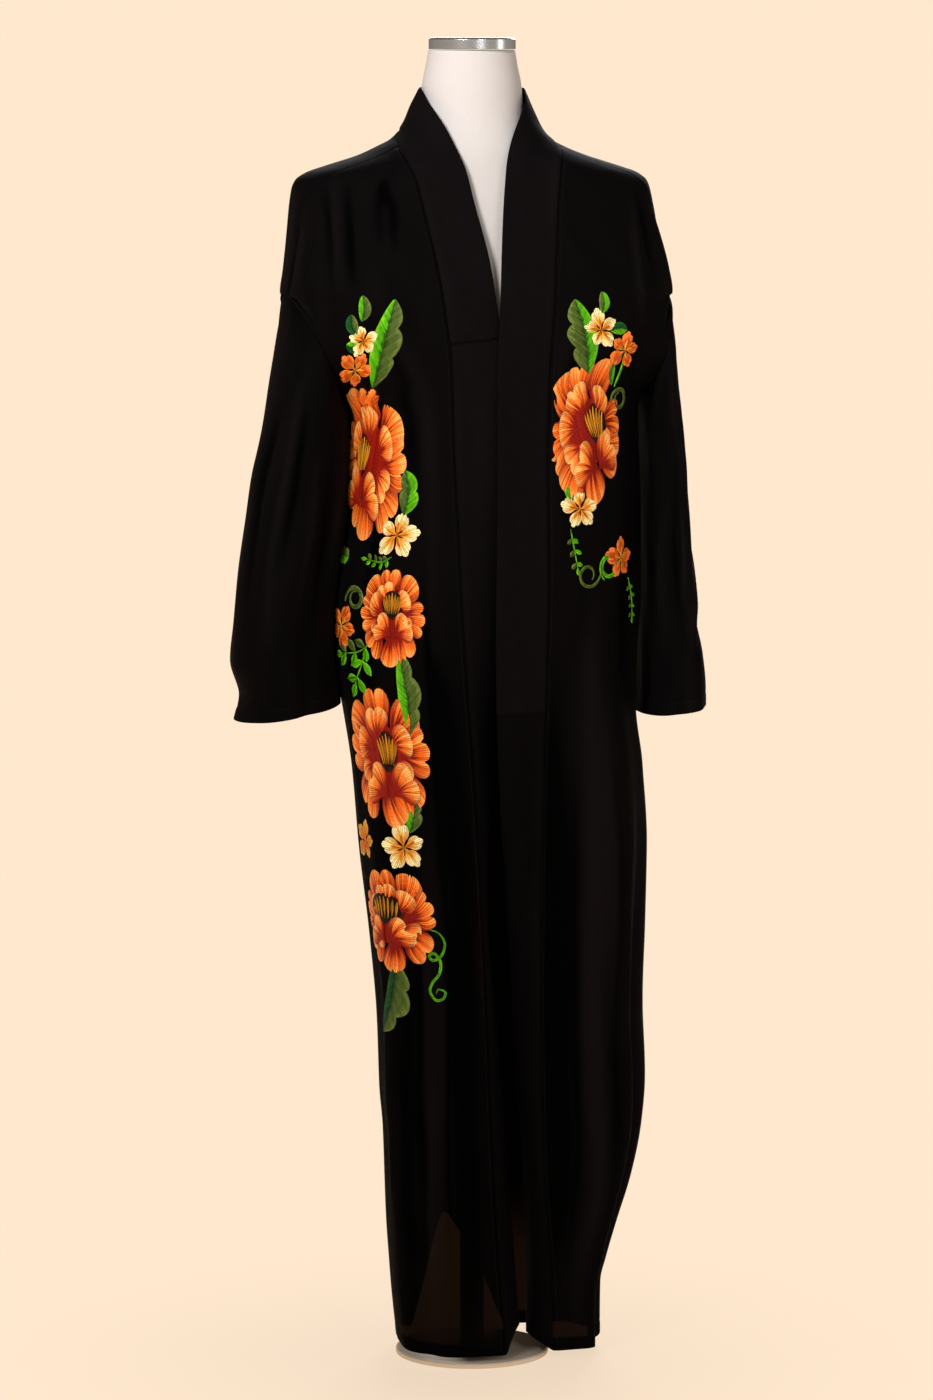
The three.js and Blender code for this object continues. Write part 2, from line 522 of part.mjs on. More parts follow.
// A geometry from positions and faces, turned so that its faces point out.
function closedBody(positions, faces) {
  const corner = (i) => V(...positions.slice(3 * i, 3 * i + 3));
  let volume = 0;
  for (let i = 0; i < faces.length; i += 3) {
    volume += corner(faces[i]).dot(corner(faces[i + 1]).cross(corner(faces[i + 2])));
  }
  const geometry = new THREE.BufferGeometry();
  geometry.setAttribute("position", new THREE.Float32BufferAttribute(positions, 3));
  geometry.setIndex(volume > 0 ? faces : faces.toReversed());
  geometry.computeVertexNormals();
  return geometry;
}

// The dress form's body and neck: rings from the flat foot to the flat neck top.
function formBody() {
  const positions = [];
  const faces = [];
  for (const { z, half, front, back } of FORM_SECTIONS) {
    for (let i = 0; i < FORM_SIDES; i++) {
      const turn = (2 * Math.PI * i) / FORM_SIDES;
      const deep = Math.cos(turn) > 0 ? front : back;
      positions.push(-half * Math.sin(turn), -deep * Math.cos(turn) + FORM_SHIFT, z);
    }
  }
  const id = (r, i) => r * FORM_SIDES + (i % FORM_SIDES);
  const top = FORM_SECTIONS.length - 1;
  for (let r = 0; r < top; r++) {
    for (let i = 0; i < FORM_SIDES; i++) {
      faces.push(id(r, i), id(r, i + 1), id(r + 1, i + 1), id(r, i), id(r + 1, i + 1), id(r + 1, i));
    }
  }
  for (let i = 1; i < FORM_SIDES - 1; i++) {
    faces.push(id(0, 0), id(0, i + 1), id(0, i), id(top, 0), id(top, i), id(top, i + 1));
  }
  return closedBody(positions, faces);
}

// A round piece on the stand's axis, from its profile of radius and height pairs.
function turned(profile, sides) {
  const geometry = new THREE.LatheGeometry(profile.map(([r, z]) => new THREE.Vector2(r, z)), sides);
  return geometry.rotateX(Math.PI / 2);
}

function capGeometry() {
  const { radius, top, bevel } = CAP;
  const foot = NECK_TOP + SEAM_GAP;
  return turned([[0, foot], [radius, foot], [radius, top - bevel], [radius - bevel, top], [0, top]], 40);
}

function baseGeometry() {
  const { radius, height, bevel } = BASE;
  return turned([[0, 0], [radius, 0], [radius, height - bevel], [radius - bevel, height], [0, height]], 48);
}

function poleGeometry() {
  const [foot, top] = [BASE.height + SEAM_GAP, FORM_FOOT - SEAM_GAP];
  return turned([[0, foot], [POLE_RADIUS, foot], [POLE_RADIUS, top], [0, top]], 24);
}

const crepe = { color: 0x0b090a, roughness: 0.72, metalness: 0 };
const linen = { color: 0xf1e9dc, roughness: 0.9, metalness: 0 };
const steel = { color: 0xc9c9c6, roughness: 0.22, metalness: 1 };
const paint = { color: 0xe9e2d6, roughness: 0.5, metalness: 0 };

const robe = new THREE.Group();

function add(name, geometry, look) {
  const mesh = new THREE.Mesh(geometry, new THREE.MeshStandardMaterial(look));
  mesh.name = name;
  robe.add(mesh);
}

// The neckband between two of its stations.
function bandPiece(from, to, rows) {
  const cells = BAND.slice(from, to + 1).map(({ cells: row }) =>
    row.map(({ p, n }) => ({ p: p.clone(), n })),
  );
  return wall(trim(cells, { columns: [0], rows }), BAND_WALL);
}

const joinRight = BAND.findIndex(({ station }) => station.z === BAND_JOIN.right);
const joinLeft = BAND.findLastIndex(({ station }) => station.z === BAND_JOIN.left);

add("back", wall(trim(backGrid(), { columns: [0, -1], rows: [-1] }), WALL), crepe);
add("front_right", wall(trim(frontGrid(-1), { columns: [0, -1], rows: [-1] }), WALL), crepe);
add("front_left", wall(trim(frontGrid(1), { columns: [0, -1], rows: [-1] }), WALL), crepe);
add("sleeve_right", wall(trim(sleeveGrid(-1), { rows: [0], drop: WALL }), WALL, true), crepe);
add("sleeve_left", wall(trim(sleeveGrid(1), { rows: [0], drop: WALL }), WALL, true), crepe);
add("band_right_lower", bandPiece(0, joinRight, [-1]), crepe);
add("band_neck", bandPiece(joinRight, joinLeft, [0, -1]), crepe);
add("band_left_lower", bandPiece(joinLeft, BAND.length - 1, [0]), crepe);
add("form_body", formBody(), linen);
add("neck_cap", capGeometry(), steel);
add("form_pole", poleGeometry(), paint);
add("form_base", baseGeometry(), paint);

export default robe;
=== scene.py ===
"""A long open kimono robe of black crepe with embroidered flower sprays, on a limbless dress form.

The cloth's tables are in millimetres, and everything in Blender is in metres. The front faces -Y.
The robe's body is one surface: psi runs from the centre front (0) over the wearer's right side (90)
and the centre back (180) to the left side (270).
"""

import math

import bpy
import numpy as np
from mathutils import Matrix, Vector


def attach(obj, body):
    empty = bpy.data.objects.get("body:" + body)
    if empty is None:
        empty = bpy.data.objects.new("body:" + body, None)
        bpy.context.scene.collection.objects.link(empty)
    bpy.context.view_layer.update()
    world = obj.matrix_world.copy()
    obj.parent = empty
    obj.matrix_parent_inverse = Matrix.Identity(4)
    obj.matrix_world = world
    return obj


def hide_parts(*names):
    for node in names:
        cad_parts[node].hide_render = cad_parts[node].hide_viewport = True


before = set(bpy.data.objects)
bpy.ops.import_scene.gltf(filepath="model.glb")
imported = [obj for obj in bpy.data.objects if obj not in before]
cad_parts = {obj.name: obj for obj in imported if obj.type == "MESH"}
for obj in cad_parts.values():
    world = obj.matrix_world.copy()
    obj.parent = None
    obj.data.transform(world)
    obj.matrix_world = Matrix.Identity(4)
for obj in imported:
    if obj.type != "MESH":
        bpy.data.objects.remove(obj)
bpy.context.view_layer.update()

MM = 0.001
HEM = 12
UNDERARM = 1135
SHOULDER_DROP = 1250  # where the armhole ends and the shoulder seam begins
SEAM_TOP = 1418  # where the shoulder seam meets the neckband
NECK_SEAM = 1436
ARMHOLE_SHORT = 32  # degrees that a section leaves free where the armhole is widest
FOLD_DEPTHWISE = 1.6  # how much more a fold pushes to the front and back than sideways
BAND_JOIN = {"right": (UNDERARM + SHOULDER_DROP) / 2, "left": 769}  # heights of the band's joins
BAND_CORNER = {"right": 0.35, "left": 1.0}  # how far from its seam the band turns

CLOTH = 0.9  # thickness of the panels
BAND_CLOTH = 1.4
HEM_DEPTH = 14
HEM_RISE = 0.35  # how far the doubled hem stands proud
SEAM_ROLL = 0.5  # how far a sewn edge turns in
SEAM_ROLL_WIDTH = 3.0
BAND_SEAM_ROLLS = 2.6  # how much further a panel turns in at the band than at a plain edge
SIDE_SEAM_ROLLS = 0.7
SEAM_CALM = 8  # how far from a seam the creases have faded
RELIEF_SPAN = 5.0  # crease height that shades a fold fully
BACK_PAINTED_SHADE = (90, 190)  # heights between which the back's cloth stops letting light through and takes a painted shade
GIRTH_PER_DEGREE = 2.6  # of the body, where a crease is placed by its angle
SLEEVE_GIRTH_PER_DEGREE = 1.2


def table(columns, *rows):
    """Named columns of numbers."""
    return dict(zip(columns.split(), np.array(rows, float).T))


BODY_SECTIONS = table(
    "z right left front back side square_front square_back",
    (12, 90, 154, 80, 88, 6, 2.9, 2.2),
    (75, 96, 155, 81, 92, 6, 2.8, 2.2),
    (104, 98, 162, 83, 94, 6, 2.7, 2.2),
    (150, 101, 175, 85, 97, 6, 2.7, 2.2),
    (205, 103, 192, 88, 100, 6, 2.6, 2.2),
    (268, 105, 205, 91, 103, 7, 2.6, 2.2),
    (316, 109, 209, 94, 105, 7, 2.5, 2.2),
    (410, 112, 206, 99, 108, 8, 2.5, 2.2),
    (507, 121, 208, 107, 111, 8, 2.4, 2.1),
    (602, 132, 210, 113, 113, 8, 2.3, 2.1),
    (696, 140, 204, 119, 112, 8, 2.2, 2.1),
    (767, 151, 195, 123, 110, 8, 2.1, 2.1),
    (837, 163, 197, 126, 107, 8, 2, 2),
    (896, 164, 201, 128, 104, 8, 2, 2),
    (1012, 148, 200, 131, 97, 8, 2, 2),
    (1110, 146, 197, 133, 99, 8, 2, 2),
    (1135, 158, 200, 132, 101, 8, 2, 2),
    (1250, 221, 230, 125, 109, 8, 2.8, 2.8),
    (1277, 217.5, 226, 119, 110, 8, 2.8, 2.8),
    (1323, 213, 217, 109, 110, 8, 2.7, 2.7),
    (1369, 208.5, 209, 98, 105, 7, 2.5, 2.5),
    (1380, 204, 204.5, 97, 102, 7, 2.4, 2.4),
    (1388, 193, 194, 96, 99, 7, 2.3, 2.3),
    (1397, 167, 168, 96, 95, 7, 2.2, 2.2),
    (1408, 132, 133, 95, 88, 7, 2.1, 2.1),
    (1418, 110, 108, 95, 82, 7, 2, 2),
    (1427, 93, 91, 95, 76, 7, 2, 2),
    (1436, 84, 83, 94, 72, 7, 2, 2),
)
BODY_FOLDS = table(
    "psi psi_top width out full gone",
    (311, 309, 9, 9, 500, 900),
    (294, 292, 10, -13, 420, 820),
    (338, 338, 9, -6, 500, 1000),
    (38, 30, 12, -7, 560, 1000),
    (66, 60, 15, 5, 500, 900),
    (112, 116, 12, -8, 500, 1000),
    (136, 138, 12, 8, 520, 1100),
    (160, 158, 11, -9, 600, 1150),
    (184, 180, 12, 7, 560, 1050),
    (208, 203, 12, -9, 640, 1150),
    (232, 226, 12, 9, 520, 1100),
    (256, 250, 11, -7, 460, 980),
)
# The back's hem is hitched up in one arch, and rises a little at both sides (psi, width, lift).
HEM_ARCH = {"start": 143, "end": 200, "lift": 140, "fades_at": 520}
HEM_RISES = [(95, 36, 10), (270, 18, 7)]
SHOULDER_SEAM = table(
    "z psi",
    (1250, 90),
    (1300, 86),
    (1340, 78),
    (1364, 69),
    (1380, 62),
    (1400, 61),
    (1418, 61.5),
)
BAND = {
    "right": table(
        "z seam edge depth rise turn",
        (12, -24, -50, -34, 26, 0.75),
        (77, -19, -46, -36, 14, 0.75),
        (162, -12, -40, -38, 4, 0.75),
        (280, -5, -30, -42, 0, 0.75),
        (378, 0, -22, -46, 0, 0.78),
        (556, 11, -6, -58, 0, 0.82),
        (708, 22, -6, -80, 0, 0.8),
        (810, 31, -11, -102, 0, 0.7),
        (899, 37, -11, -110, 0, 0.5),
        (978, 41, -10, -119, 0, 0.25),
        (1068, 46, -9, -127, 0, 0),
        (1183, 50, -8, -127, 4, 0),
        (1219, 55, -4, -124, 10, 0),
        (1273, 62, 4, -118, 15, 0),
        (1338, 74, 18, -98, 18, 0),
        (1377, 82, 26, -87, 17, 0),
        (1400, 90, 34, -77, 16, 0),
        (1412, 94, 41, -69, 20, 0),
        (1418, 95, 47, -62, 27, 0),
        (1424, 93.5, 54, -51, 34, 0),
        (1430, 88.6, 60, -32, 41, 0),
        (1436, 84, 62, -4, 49, 0),
    ),
    "left": table(
        "z seam edge depth rise turn",
        (12, 83, 58, -30, 16, 0.9),
        (67, 81, 58, -31, 10, 0.9),
        (130, 77, 55.3, -34, 4, 0.9),
        (222, 68, 52.5, -37, 0, 0.9),
        (300, 64, 45.3, -45, 0, 0.9),
        (378, 62, 38, -54, 0, 0.9),
        (461, 60, 31, -68, 0, 0.8),
        (586, 59, 18, -92, 0, 0.6),
        (663, 60, 10, -108, 0, 0.4),
        (770, 61, 2, -127, 0, 0),
        (899, 63, 0, -133, 0, 0),
        (1066, 61, 1, -137, 0, 0),
        (1157, 63, 1, -137, 2, 0),
        (1229, 68, 4, -134, 8, 0),
        (1301, 74, 10, -117, 14, 0),
        (1377, 82, 20, -92, 17, 0),
        (1400, 86, 26, -80, 16, 0),
        (1412, 91, 33, -70, 20, 0),
        (1418, 93, 40, -62, 27, 0),
        (1424, 92, 48, -51, 34, 0),
        (1430, 87.4, 57, -32, 41, 0),
        (1436, 83, 61, -4, 49, 0),
    ),
}
COLLAR_BACK = {"depth": 65, "rise": 51}
SLEEVE = {
    "right": table(
        "z tip outer inner depth toe",
        (1192.5, 57.5, 221, 158, 80, 0),
        (1160, 40, 226, 158, 81, 1),
        (1125, 24, 235, 155, 82, 2),
        (1085, 10, 244.5, 153, 83, 4),
        (1040, 2, 257, 154, 83, 5),
        (990, 0, 265, 158, 83, 6),
        (930, 0, 274, 165, 83, 7),
        (870, 0, 280, 169, 83, 8),
        (830, -2, 284, 168, 83, 8),
        (795, -6, 274, 163, 84, 9),
        (768, -8, 280, 159, 85, 10),
    ),
    "left": table(
        "z tip outer inner depth toe",
        (1192.5, 57.5, 230, 200, 86, 0),
        (1160, 40, 233, 202, 87, 1),
        (1125, 24, 234, 205, 88, 1),
        (1085, 10, 238, 208, 88, 2),
        (1040, 2, 244, 210, 88, 3),
        (990, 0, 248, 210, 88, 4),
        (930, 0, 253, 211, 88, 4),
        (870, 0, 260, 210, 88, 4),
        (830, 0, 270, 207, 88, 3),
        (795, 2, 274, 205, 89, 3),
        (764, 8, 275, 202, 90, 2),
    ),
}
SLEEVE_FOLDS = table("phi width out", (70, 15, 5), (112, 14, -7), (226, 16, 6), (268, 15, -6))
FORM_SECTIONS = table(
    "z half front back",
    (800, 143, 90, 94),
    (830, 150, 96, 99),
    (880, 151, 99, 97),
    (940, 142, 98, 90),
    (1000, 128, 94, 80),
    (1060, 118, 93, 74),
    (1110, 124, 102, 79),
    (1160, 139, 114, 86),
    (1210, 152, 119, 92),
    (1250, 163, 113, 96),
    (1290, 180, 104, 98),
    (1330, 196, 94, 97),
    (1356, 204, 88, 94),
    (1369, 204.6, 85, 92),
    (1380, 197, 82, 90),
    (1388, 184, 80, 87),
    (1397, 158, 78, 83),
    (1408, 123.5, 76, 77),
    (1418, 100, 73, 71),
    (1427, 84, 70, 67),
    (1436, 74.5, 67, 63.5),
    (1450, 65, 63, 60.5),
    (1470, 59, 60, 58),
    (1490, 57, 57, 56),
    (1510, 53, 53, 53),
    (1528, 50, 50, 50),
)
FORM_SHIFT = 3
CAP = {"radius": 50, "foot": 1528.6, "top": 1542, "bevel": 2}
POLE = {"radius": 14, "foot": 6.6, "top": 799.4, "bevel": 0}
BASE = {"radius": 90, "foot": 0, "top": 6, "bevel": 1.5}

# Creases of the body's panels: how far each stands out (or sinks, below 0), its width, and the
# points (psi, z) it runs through.
BODY_CREASES = {
    "front_right": [
        (-3.6, 5, [(46.4, 1376), (42.5, 1320), (40, 1262)]),
        (2.4, 7, [(53, 1372), (50, 1322), (47, 1264)]),
        (-3.2, 7, [(58, 1370), (53, 1320), (50, 1268)]),
        (-2.8, 5, [(36, 1398), (25.5, 1348), (23.5, 1296)]),
        (-2.6, 6, [(31, 1396), (31, 1350), (29, 1302)]),
        (3.8, 8, [(70, 1340), (74, 1290), (80, 1220)]),
        (-2.9, 8, [(77, 1330), (80, 1280), (84, 1210)]),
        (-2.3, 9, [(36, 1240), (40, 1120), (37, 985)]),
        (2.0, 10, [(28, 1230), (31, 1100), (27, 960), (26, 840)]),
        (-2.6, 12, [(60, 1010), (56, 900), (60, 780)]),
        (2.6, 12, [(80, 960), (76, 840), (82, 700), (86, 560)]),
        (-9.0, 12, [
            (25, 830), (19.5, 722), (15.5, 652), (12, 560), (12, 440), (11, 320), (9, 200), (8, 60),
        ]),
        (3.6, 14, [(30, 640), (26, 480), (27, 320), (30, 120), (31, 20)]),
        (-3.0, 4, [(31, 980), (28, 860), (25, 700), (23, 520)]),
        (-3.4, 4, [(22, 620), (20, 480), (21, 300), (19, 90)]),
        (2.6, 4, [(16, 760), (13, 600), (14, 420), (13, 180)]),
        (-2.8, 5, [(41, 700), (39, 520), (42, 330), (40, 130)]),
        (3.8, 11, [(32, 600), (35, 430), (33, 250), (36, 60)]),
        (-3.2, 12, [(52, 560), (50, 380), (54, 200), (52, 40)]),
        (2.9, 10, [(72, 500), (70, 340), (74, 170)]),
    ],
    "front_left": [
        (3.4, 6, [(309, 1362), (314.6, 1301), (316.5, 1256), (305, 1216)]),
        (-2.9, 7, [(303, 1372), (304, 1330), (306, 1270)]),
        (4.1, 8, [(290, 1340), (285, 1280), (281, 1215)]),
        (-3.5, 8, [(284, 1325), (280, 1270), (277, 1205)]),
        (-2.3, 9, [(333, 1235), (335, 1120), (332, 980)]),
        (2.2, 10, [(342, 1240), (341, 1090), (344, 930)]),
        (-3.2, 10, [(300, 1010), (305, 890), (301, 770)]),
        (2.9, 12, [(286, 930), (290, 800), (285, 660)]),
        (4.3, 12, [(322, 900), (319, 740), (320, 560), (316, 380)]),
        (-10.0, 13, [
            (344, 830), (342, 671), (342, 553), (342, 434), (342, 315), (339, 194), (340, 50),
        ]),
        (7.5, 11, [
            (325, 850), (326, 668), (327, 550), (328, 432), (327, 312), (322, 191), (323, 50),
        ]),
        (-3.5, 12, [(303, 640), (306, 480), (302, 300)]),
        (-3.2, 4, [(333, 700), (334, 520), (333, 330), (330, 110)]),
        (-2.8, 5, [(316, 760), (315, 560), (318, 360), (314, 170)]),
        (2.4, 4, [(350, 640), (349, 470), (351, 300), (350, 120)]),
        (3.5, 12, [(284, 560), (287, 400), (283, 230)]),
    ],
    "back": [
        (3.2, 8, [(118, 1360), (122, 1290), (120, 1210)]),
        (-2.9, 8, [(126, 1350), (130, 1280), (127, 1205)]),
        (3.8, 8, [(243, 1356), (238, 1290), (241, 1200)]),
        (-3.2, 9, [(235, 1350), (230, 1280), (233, 1180)]),
        (2.3, 9, [(160, 1400), (158, 1330), (161, 1250)]),
        (-2.3, 10, [(203, 1396), (205, 1310), (201, 1220)]),
        (-3.2, 11, [(146, 1190), (149, 1060), (144, 930)]),
        (3.5, 12, [(168, 1120), (171, 960), (166, 800), (170, 640)]),
        (-3.8, 12, [(193, 1090), (190, 930), (195, 770), (192, 600)]),
        (3.2, 12, [(216, 1130), (219, 970), (214, 820)]),
        (-2.9, 11, [(102, 1040), (106, 880), (101, 700)]),
        (3.2, 11, [(262, 1030), (259, 880), (263, 720)]),
        (4.3, 12, [(124, 760), (127, 560), (123, 360), (127, 160)]),
        (-4.3, 12, [(150, 700), (147, 500), (151, 330)]),
        (3.8, 12, [(199, 560), (196, 380), (200, 190)]),
        (-4.1, 13, [(222, 700), (219, 500), (223, 300), (220, 110)]),
        (4.1, 12, [(244, 660), (247, 460), (243, 270), (246, 80)]),
        (-3.2, 12, [(264, 520), (262, 360), (266, 220)]),
    ],
}
# Creases of the sleeves, by (phi, z): phi runs from the outer side (0) over the front (90).
SLEEVE_CREASES = {
    "right": [
        (12.0, 30, [(168, 1300), (176, 1190), (180, 1060), (182, 920), (183, 740)]),
        (3.1, 7, [(62, 1150), (66, 1060), (62, 960), (70, 860)]),
        (-3.4, 7, [(74, 1130), (79, 1040), (75, 950)]),
        (-3.1, 9, [(34, 1120), (30, 1010), (34, 900)]),
        (2.6, 9, [(104, 1080), (110, 980), (105, 880)]),
        (-2.6, 8, [(128, 1060), (132, 960), (127, 840)]),
        (2.9, 9, [(146, 1090), (150, 1000), (147, 900)]),
        (2.3, 10, [(18, 1000), (14, 900), (20, 800)]),
        (3.1, 9, [(215, 1120), (220, 1000), (216, 880)]),
        (-2.9, 9, [(240, 1100), (246, 980), (241, 850)]),
        (2.9, 10, [(280, 1140), (284, 1010), (279, 870)]),
        (-2.6, 10, [(318, 1110), (322, 980), (317, 860)]),
    ],
    "left": [
        (3.6, 7, [(40, 1180), (46, 1110), (52, 1030)]),
        (-3.4, 8, [(56, 1160), (62, 1080), (66, 1000)]),
        (-3.6, 8, [(22, 1150), (26, 1060), (20, 980), (28, 900)]),
        (3.4, 9, [(34, 960), (58, 900), (84, 860)]),
        (-3.6, 9, [(26, 920), (52, 866), (78, 824)]),
        (2.9, 8, [(100, 1010), (92, 950), (102, 890)]),
        (-2.6, 8, [(118, 1040), (124, 960), (116, 870)]),
        (2.6, 8, [(140, 1010), (146, 920), (138, 830)]),
        (2.9, 9, [(216, 1130), (222, 1010), (217, 890)]),
        (-3.1, 9, [(244, 1110), (238, 980), (245, 850)]),
        (3.1, 10, [(282, 1130), (276, 1000), (283, 880)]),
        (-2.6, 10, [(322, 1090), (316, 980), (323, 850)]),
    ],
}
# Each panel's flat size (m) and area (m2), and the painted light (above 0) or painted
# shade (below 0) of its cloth above and below the turn, as a share of a full fold.
PANELS = {
    "front_right": ((0.26, 1.42), 0.27, (0.0, -0.32)),
    "front_left": ((0.26, 1.42), 0.27, (0.0, -0.06)),
    "back": ((0.60, 1.46), 0.66, (0.1, 0.1)),
    "sleeve_right": ((0.46, 0.50), 0.19, (-0.06, -0.10)),
    "sleeve_left": ((0.46, 0.50), 0.19, (0.10, 0.06)),
    "band_right_lower": ((0.06, 1.2), 0.066, (0.34, -0.12)),
    "band_neck": ((0.06, 1.31), 0.078, (0.34, 0.34)),
    "band_left_lower": ((0.06, 0.77), 0.04, (0.30, -0.12)),
}
PAINTED_LIGHT_TURNS = (700, 950)  # heights between which the lean of painted light and shade changes


# ---------------------------------------------------------------- the robe's surfaces


def mix(a, b, t):
    return a + (b - a) * t


def smooth(value, low, high):
    t = np.clip((value - low) / (high - low), 0, 1)
    return t * t * (3 - 2 * t)


def bump(away, width):
    return np.exp(-((away / width) ** 2))


def along(keys, values, at):
    """A smooth curve through values at rising keys, monotone between them."""
    at = np.clip(at, keys[0], keys[-1])
    slopes = np.diff(values) / np.diff(keys)
    a, b = slopes[:-1], slopes[1:]
    same = a * b > 0
    inner = np.where(same, 2 * a * b / np.where(same, a + b, 1), 0)
    tangents = np.concatenate([slopes[:1], inner, slopes[-1:]])
    i = np.clip(np.searchsorted(keys, at, side="right") - 1, 0, len(keys) - 2)
    h = keys[i + 1] - keys[i]
    t = (at - keys[i]) / h
    return (
        values[i] * (1 + 2 * t) * (1 - t) ** 2
        + h * tangents[i] * t * (1 - t) ** 2
        + values[i + 1] * t * t * (3 - 2 * t)
        + h * tangents[i + 1] * t * t * (t - 1)
    )


def column(rows, name, z):
    return along(rows["z"], rows[name], z)


def fold_out(psi, z):
    """How far the large folds push the body out."""
    out = 0
    for middle, at_top, width, push, full, gone in zip(*BODY_FOLDS.values()):
        rise = np.clip((z - HEM) / (gone - HEM), 0, 1)
        fade = 1 - smooth(z, full, gone)
        out = out + push * fade * bump(psi - mix(middle, at_top, rise), width)
    return out


def hem_lift(psi, z):
    """How far the hem's arch and rises lift the cloth."""
    t = np.clip((psi - HEM_ARCH["start"]) / (HEM_ARCH["end"] - HEM_ARCH["start"]), 0, 1)
    lift = HEM_ARCH["lift"] * np.sin(np.pi * t) ** 1.3
    for middle, width, rise in HEM_RISES:
        lift = lift + rise * bump(psi - middle, width)
    return lift * (1 - np.clip(z / HEM_ARCH["fades_at"], 0, 1))


def body(psi, z):
    """The body's surface. On the armhole's heights each half section ends on the armhole."""
    psi, z = np.broadcast_arrays(np.asarray(psi, float) % 360, np.asarray(z, float))
    on_right = psi <= 180
    side = np.where(on_right, -1.0, 1.0)
    round_it = np.where(on_right, psi, 360 - psi)
    in_front = round_it <= 90
    turn = np.radians(np.where(in_front, round_it, 180 - round_it))
    right, left, front, back, side_y, square_front, square_back = (
        column(BODY_SECTIONS, name, z) for name in BODY_SECTIONS if name != "z"
    )
    deep = np.where(in_front, -front, back)
    power = 2 / np.where(in_front, square_front, square_back)
    reach = np.where(on_right, right, left)

    def section(angle):
        y = side_y + (deep - side_y) * np.maximum(np.cos(angle), 0) ** power
        return np.stack([side * reach * np.sin(angle) ** power, y], -1)

    t = np.clip((z - UNDERARM) / (SHOULDER_DROP - UNDERARM), 0, 1)
    opened = 2 * np.sqrt(t * (1 - t))
    hole_outer, hole_inner, hole_depth = (
        np.where(on_right, SLEEVE["right"][name][0], SLEEVE["left"][name][0])
        for name in ("outer", "inner", "depth")
    )
    short = np.radians(ARMHOLE_SHORT * opened)
    share = turn / (math.pi / 2)
    end_y = side_y + np.where(in_front, -1, 1) * hole_depth * opened
    end = np.stack([side * mix(hole_inner, hole_outer, t), end_y], -1)
    end = (end - section(math.pi / 2 - short)) * (share**3 * (opened > 0))[..., None]
    x, y = np.moveaxis(section(turn - short * share**2.5) + end, -1, 0)

    out = fold_out(psi, z) / np.hypot(x, y * FOLD_DEPTHWISE)
    return np.stack(
        [x * (1 + out), y * (1 + out * FOLD_DEPTHWISE), z + hem_lift(psi, z)], axis=-1
    )


def psi_on(side, round_it):
    return round_it if side == "right" else 360 - round_it


def band_round(side, z):
    """The angle, from the centre front, at which the neckband's seam crosses a height."""
    z = np.asarray(z, float)
    sign = -1 if side == "right" else 1
    target = column(BAND[side], "seam", z)
    low, high = np.full_like(z, -60.0), np.full_like(z, 90.0)
    for _ in range(40):
        middle = (low + high) / 2
        short = sign * body(psi_on(side, middle), z)[..., 0] < target
        low, high = np.where(short, middle, low), np.where(short, high, middle)
    return low


def side_round(z):
    """Where a front ends and the back begins, as an angle from the centre front."""
    return np.where(z <= SHOULDER_DROP, 90.0, column(SHOULDER_SEAM, "psi", z))


def band_surface(side, z, u):
    """The neckband's surface at heights z, u running from its seam (0) to its free edge (1)."""
    z, u = np.asarray(z, float)[:, None], np.asarray(u, float)[None, :]
    rows, sign = BAND[side], -1 if side == "right" else 1
    seam = body(psi_on(side, band_round(side, z)), z)
    edge = np.stack(
        [sign * column(rows, "edge", z), column(rows, "depth", z), z + column(rows, "rise", z)], -1
    )
    corner = seam.copy()
    corner[..., 0] = mix(seam[..., 0], edge[..., 0], BAND_CORNER[side])
    corner[..., 2] = edge[..., 2]
    turn = column(rows, "turn", z)[..., None]
    control = mix(mix(seam, edge, 0.5), corner, turn)
    u = u[..., None]
    return seam * (1 - u) ** 2 + 2 * control * u * (1 - u) + edge * u**2


def collar_surface(psi, u):
    """The neckband behind the neck, at angles psi."""
    psi, u = np.asarray(psi, float)[:, None], np.asarray(u, float)[None, :, None]
    turn = np.radians(psi)
    behind = np.maximum(-np.cos(turn), 0)

    def at_top(name):
        return np.where(psi < 180, BAND["right"][name][-1], BAND["left"][name][-1])

    edge = np.stack(
        [
            -at_top("edge") * np.sin(turn),
            mix(at_top("depth"), COLLAR_BACK["depth"], behind),
            NECK_SEAM + mix(at_top("rise"), COLLAR_BACK["rise"], behind),
        ],
        -1,
    )
    return mix(body(psi, NECK_SEAM), edge, u)


def sleeve_surface(side, ring, phi):
    """A sleeve's surface: ring from the armhole (0) to the cuff (10), phi round it in degrees."""
    rows, sign = SLEEVE[side], -1 if side == "right" else 1
    rings = np.arange(len(rows["z"]), dtype=float)
    ring, phi = np.broadcast_arrays(np.asarray(ring, float), np.asarray(phi, float))
    z, tip, outer, inner, depth, toe = (along(rings, values, ring) for values in rows.values())
    c, s = np.cos(np.radians(phi)), np.sin(np.radians(phi))
    out = 0
    for middle, width, push in zip(*SLEEVE_FOLDS.values()):
        out = out + push * ring / rings[-1] * bump(phi - middle, width)
    x = (outer + inner) / 2 + ((outer - inner) / 2 + out) * c + toe * s
    return np.stack([sign * x, 8 - (depth + out) * s, z + tip * c], -1)


# ---------------------------------------------------------------- meshes


def closer_at_ends(count):
    """2 * count - 1 steps from 0 to 1, closer together at both ends."""
    t = np.linspace(0, 1, count)
    t = mix(t, t**2, 0.55) / 2
    return np.concatenate([t, 1 - t[-2::-1]])


def normals_of(points, closed=False):
    """Unit normals of a grid of points, rows running up and columns with psi."""
    if closed:
        padded = np.concatenate([points[:, -2:-1], points, points[:, 1:2]], axis=1)
        across = np.gradient(padded, axis=1)[:, 1:-1]
    else:
        across = np.gradient(points, axis=1)
    n = np.cross(np.gradient(points, axis=0), across)
    return n / np.maximum(np.linalg.norm(n, axis=-1, keepdims=True), 1e-9)


